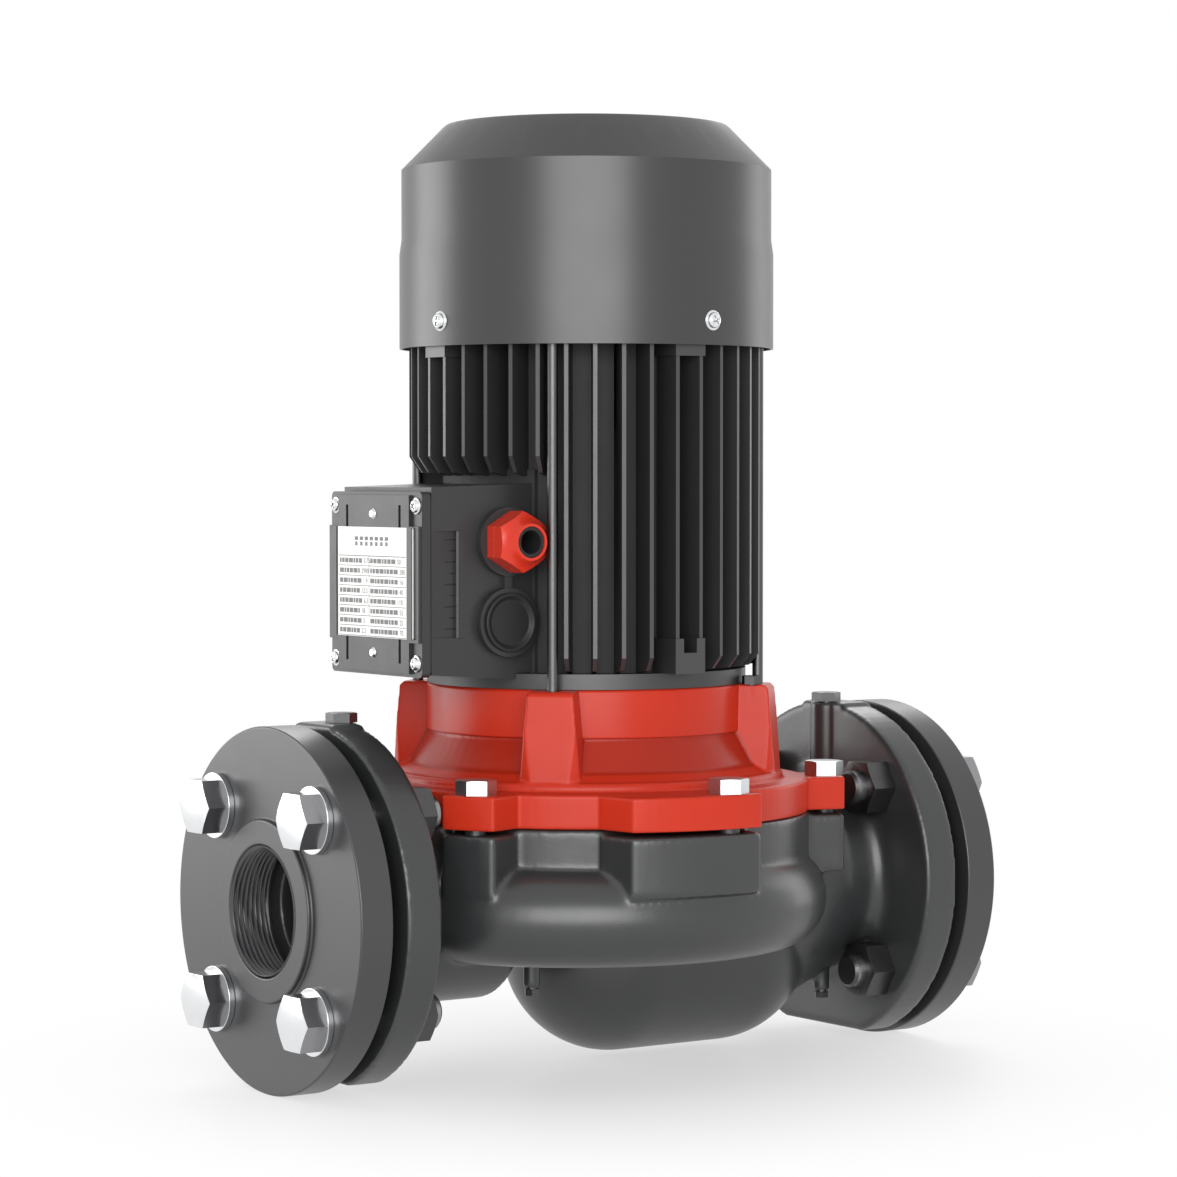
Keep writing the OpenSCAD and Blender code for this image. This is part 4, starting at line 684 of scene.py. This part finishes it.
# screw heads, in millimetres; dome and cross are shares of the head
heads = {"washerThick": 0.7, "sink": 0.2, "washerEdge": 0.1, "headFoot": (0.15, 0.1), "sides": 40,
         "dome": ((1.0, 0.35), (0.93, 0.66), (0.72, 0.88), (0.4, 0.98)), "crossLong": 0.62, "crossWide": 0.13,
         "cover": {"head": 2.9, "washer": 3.8, "rise": 2.3, "reach": 5.0},
         "cowl": {"head": 3.6, "washer": 4.6, "rise": 3.0, "reach": 6.0}}


def crossHead(name, head, washer, rise):
    # pan head with a cross recess on a plain washer
    thick, sink, edge = heads["washerThick"], heads["sink"], heads["washerEdge"]
    footOut, footUp = heads["headFoot"]
    profile = [(0, -sink), (washer, -sink), (washer, thick - edge), (washer - edge, thick),
               (head + footOut, thick), (head, thick + footUp)]
    profile += [(across * head, thick + up * (rise - thick)) for across, up in heads["dome"]]
    profile.append((0, rise))
    piece = addObject(name, lathe(name, inMetres(profile), heads["sides"]))
    bm = bmesh.new()
    long, wide = heads["crossLong"] * head, heads["crossWide"] * head
    for x, y in ((long, wide), (wide, long)):
        block(bm, (-x, -y, thick + footUp), (x, y, rise + 1))
    carve(piece, meshOf("cross", bm))
    mesh = piece.data
    bpy.data.objects.remove(piece)
    return mesh


def awayFromMotor(middle):
    return Vector((middle.x - motorX, middle.y, 0)).normalized()


def towardsFront(middle):
    return Vector((-1, 0, 0))


for node, kind, outward in (("box_cover_screws", "cover", towardsFront),
                            ("cowl_screws", "cowl", awayFromMotor)):
    size = heads[kind]
    head = crossHead(kind + "Screw", size["head"], size["washer"], size["rise"])
    swapEnds(node, outward, size["rise"], size["reach"], head, kind + "ScrewHeads", "zinc")
print("screw heads made")


# grip recesses in the sides of the terminal box, in millimetres
grip = {"from": -115.6, "to": -100.0, "deep": 1.7, "slope": 2.5, "half": 24.0, "side": 38.0, "middle": 228.0,
        "past": 0.5, "slots": 9, "slotPitch": 5.0, "slotLong": 6.6, "slotShort": 4.0, "slotHigh": 0.6,
        "slotDeep": 0.6, "slotGap": 0.01}


def gripCutter():
    # a shallow wedge with a sloping end and a row of slots, for both sides
    bm = bmesh.new()
    start, end, wall = grip["from"], grip["to"], grip["side"]
    floor, past = wall - grip["deep"], wall + grip["past"]
    slopeEnd = end + grip["slope"]
    outline = [(start, wall), (end, floor), (slopeEnd, wall), (slopeEnd, past), (start, past)]
    for side in (-1, 1):
        prism(bm, *([(x * mm, side * y * mm, (grip["middle"] + half) * mm) for x, y in outline]
                    for half in (-grip["half"], grip["half"])))
        inner, outer = sorted((side * (floor - grip["slotDeep"]), side * past))
        for number in range(grip["slots"]):
            z = grip["middle"] + (number - (grip["slots"] - 1) / 2) * grip["slotPitch"]
            long = grip["slotShort"] if number % 2 else grip["slotLong"]
            block(bm, (end - long, inner, z - grip["slotHigh"] / 2),
                  (end - grip["slotGap"], outer, z + grip["slotHigh"] / 2))
    bmesh.ops.recalc_face_normals(bm, faces=bm.faces)
    return meshOf("gripCutter", bm)


carve(dressed["terminal_box"], gripCutter())
print("box sides cut")


# blanking plug with a dished face; the rim's points are (in from the radius, height)
plug = {"place": (-75.1, -42.0, 210.5), "radius": 13.4, "dish": 0.3, "sides": 72,
        "rim": ((3.4, -9), (3.4, 0), (0, 0), (0, 1.5), (0.12, 1.78), (0.4, 1.9), (1.2, 1.9), (1.5, 1.8),
                (1.8, 1.5), (2.8, 0.6), (3.1, 0.3), (3.5, 0.3))}


def blankingPlug():
    profile = [(plug["radius"] - inset, height) for inset, height in plug["rim"]] + [(0, plug["dish"])]
    mesh = lathe("blankingPlug", inMetres(profile), plug["sides"])
    mesh.transform(pointed(Vector(plug["place"]) * mm, Vector((0, -1, 0))))
    return mesh


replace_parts(addPiece("blankingPlug", blankingPlug(), "darkPlastic", "pump"),
            "blanking_plug")
print("blanking plug made")


# print on the nameplate: ruled lines, short bars, plain numbers and a painted shadow beside the left rail, in
# millimetres or shares of a row
printed = {
    "thick": 0.05, "rail": 4.2, "railRise": 0.35, "paintedRailShadow": 0.9, "margin": 1.0,
    "title": 0.26, "titleBars": 7, "titleFrom": 0.24, "titlePitch": 0.075,
    "titleLines": ((0, 0.34, 0.05, 0.13), (0.4, 0.52, 0.035, 0.14)),
    "rows": 8, "foot": 0.6, "rule": 0.40, "fine": 0.30,
    "splits": (0.0, 0.46, 1.0), "splitRows": 6, "splitBack": 0.5,
    "barFrom": 0.8, "barTop": 0.30, "barTall": 0.46, "barLeast": 1.4, "barStep": 0.7, "barGap": 0.6,
    "figureRoom": 9.0, "figureGap": 0.9, "figureFoot": 0.78, "figureSize": 0.72, "curveSteps": 3,
    "figures": ("0.75", "50", "2900", "380", "1.9", "16", "12.5", "40", "6.3", "110", "18", "55", "3", "25",
                "2.2", "70"),
}


def boxOf(node):
    # low and high corner of a node, in millimetres
    solid = frame["nodes"][node]
    corners = [solid.matrix_world @ Vector(corner) / mm for corner in solid.bound_box]
    return tuple(Vector(pick(corner[axis] for corner in corners) for axis in range(3)) for pick in (min, max))


def figureMesh(figures, high):
    # a number lying in the XY plane with its foot at the origin
    curve = bpy.data.curves.new("figures", "FONT")
    curve.body = figures
    curve.size = high
    curve.resolution_u = printed["curveSteps"]
    thing = addObject("figures", curve)
    mesh = shapeOf(thing)
    bpy.data.objects.remove(thing)
    return mesh


def makePrint():
    # the plate is drawn from its top left corner as its reader sees it: along to the right, down
    low, high = boxOf("nameplate")
    x, thick, side = low.x, printed["thick"], printed["rail"]
    wide, tall = high.y - low.y, high.z - low.z
    rails, ink, grey = bmesh.new(), bmesh.new(), bmesh.new()

    def bar(bm, along, down, longer, deeper, rise=thick):
        block(bm, (x - rise, high.y - along - longer, high.z - down - deeper),
              (x + thick, high.y - along, high.z - down))

    for along in (0, wide - side):
        bar(rails, along, 0, side, tall, printed["railRise"])
    # a dark ink strip beside the left rail, a painted shadow
    bar(ink, side, 0, printed["paintedRailShadow"], tall)

    left = side + printed["paintedRailShadow"] + printed["margin"]
    room = wide - side - printed["margin"] - left
    title = tall * printed["title"]
    for number in range(printed["titleBars"]):
        start = left + room * (printed["titleFrom"] + printed["titlePitch"] * number)
        for inset, down, longer, deeper in printed["titleLines"]:
            bar(grey, start + inset, title * down, room * longer, title * deeper)

    step = (tall - title - printed["foot"]) / printed["rows"]
    for row in range(printed["rows"] + 1):
        bar(grey, left, title + row * step, room, printed["fine"] if row else printed["rule"])
    for row in range(printed["rows"]):
        top = title + row * step
        for column in (0, 1):
            begin, end = (left + room * split for split in printed["splits"][column:column + 2])
            if column and row < printed["splitRows"]:
                bar(grey, begin - printed["splitBack"], top, printed["fine"], step)
            along = begin + printed["barFrom"]
            number = 0
            while along < end - printed["figureRoom"]:
                longer = printed["barLeast"] + printed["barStep"] * ((number * 5 + row * 3 + column) % 4)
                bar(grey, along, top + printed["barTop"] * step, longer, printed["barTall"] * step)
                along += longer + printed["barGap"]
                number += 1
            figures = figureMesh(printed["figures"][2 * row + column], step * printed["figureSize"])
            right, foot = high.y - along - printed["figureGap"], high.z - top - step * printed["figureFoot"]
            for vert in pour(ink, figures):
                vert.co = Vector((x - thick, right - vert.co.x, foot + vert.co.y)) * mm
    addPiece("plateRails", meshOf("plateRails", rails), "boxPaint")
    addPiece("plateFigures", meshOf("plateFigures", ink), "ink")
    addPiece("plateRules", meshOf("plateRules", grey), "greyInk")


makePrint()
print("nameplate printed")


# floor, lamps and camera, in metres and watts
studio = {
    "floorShade": 0.86, "floorRough": 0.45, "floorGlow": 0.5, "near": 0.06, "far": 0.34, "floorSize": 30.0,
    "worldLight": 0.52, "background": 1.0, "aim": (0, 0, 0.2),
    "lamps": [
        {"name": "front", "place": (-1.35, -1.98, 0.6), "size": (2.2, 1.5), "power": 50},
        {"name": "wing", "place": (-1.3, 1.7, 0.40), "size": (1.3, 1.2), "power": 18},
        {"name": "back", "place": (1.9, 0.1, 0.5), "size": (0.8, 1.4), "power": 5},
        {"name": "top", "place": (1.2, 1.7, 1.9), "size": (1.4, 1.4), "power": 22},
    ],
}
photoView = {"place": (-0.9854, -1.4396, 0.2789), "towards": (0.5632, 0.8257, -0.0318), "lens": 113.09,
             "sensor": 36.0, "nearest": 0.05, "farthest": 60.0}


def makeFloor():
    # pale floor that fades into the white background
    half = studio["floorSize"] / 2
    corners = [(-half, -half, 0), (half, -half, 0), (half, half, 0), (-half, half, 0)]
    mesh = bpy.data.meshes.new("floor")
    mesh.from_pydata(corners, [], [(0, 1, 2, 3)])
    floor = addObject("floor", mesh)
    finish = Finish("floorWhite", **{"Base Color": (*[studio["floorShade"]] * 3, 1),
                                     "Roughness": studio["floorRough"]})
    glow = finish.node("ShaderNodeEmission", None, {"Color": (1, 1, 1, 1), "Strength": studio["background"]})
    away = finish.vector("LENGTH", finish.place, output="Value")
    fade = finish.ramp(away, studio["near"], studio["far"], studio["floorGlow"])
    both = finish.node("ShaderNodeMixShader", None,
                       {0: fade, 1: Wire(finish, finish.shader.outputs[0]), 2: glow})
    finish.join(finish.tree.nodes["Material Output"].inputs["Surface"], both)
    mesh.materials.append(finish.material)


def makeWorld():
    # white where the camera, a reflection or glass sees it, dimmer as a light
    world = bpy.data.worlds.new("studio")
    bpy.context.scene.world = world
    world.use_nodes = True
    graph = Graph(world.node_tree)
    rays = [graph.node("ShaderNodeLightPath", output=name)
            for name in ("Is Camera Ray", "Is Glossy Ray", "Is Transmission Ray")]
    seen = graph.larger(graph.larger(rays[0], rays[1]), rays[2])
    sky = graph.tree.nodes["Background"]
    sky.inputs["Color"].default_value = (1, 1, 1, 1)
    light = studio["worldLight"]
    graph.join(sky.inputs["Strength"], seen * (studio["background"] - light) + light)


def aimAlong(thing, place, way):
    thing.location = place
    thing.rotation_mode = "QUATERNION"
    thing.rotation_quaternion = way.to_track_quat("-Z", "Y")


def makeLamp(lamp):
    data = bpy.data.lights.new(lamp["name"], "AREA")
    data.shape = "RECTANGLE"
    data.size, data.size_y = lamp["size"]
    data.energy = lamp["power"]
    aimAlong(addObject(lamp["name"], data), lamp["place"], Vector(studio["aim"]) - Vector(lamp["place"]))


def makeCamera():
    data = bpy.data.cameras.new("camera")
    data.sensor_width = photoView["sensor"]
    data.lens = photoView["lens"]
    data.clip_start = photoView["nearest"]
    data.clip_end = photoView["farthest"]
    camera = addObject("camera", data)
    aimAlong(camera, photoView["place"], Vector(photoView["towards"]))
    bpy.context.scene.camera = camera


makeFloor()
makeWorld()
for lamp in studio["lamps"]:
    makeLamp(lamp)
makeCamera()
bpy.context.scene.view_settings.view_transform = "Standard"
print("studio made")
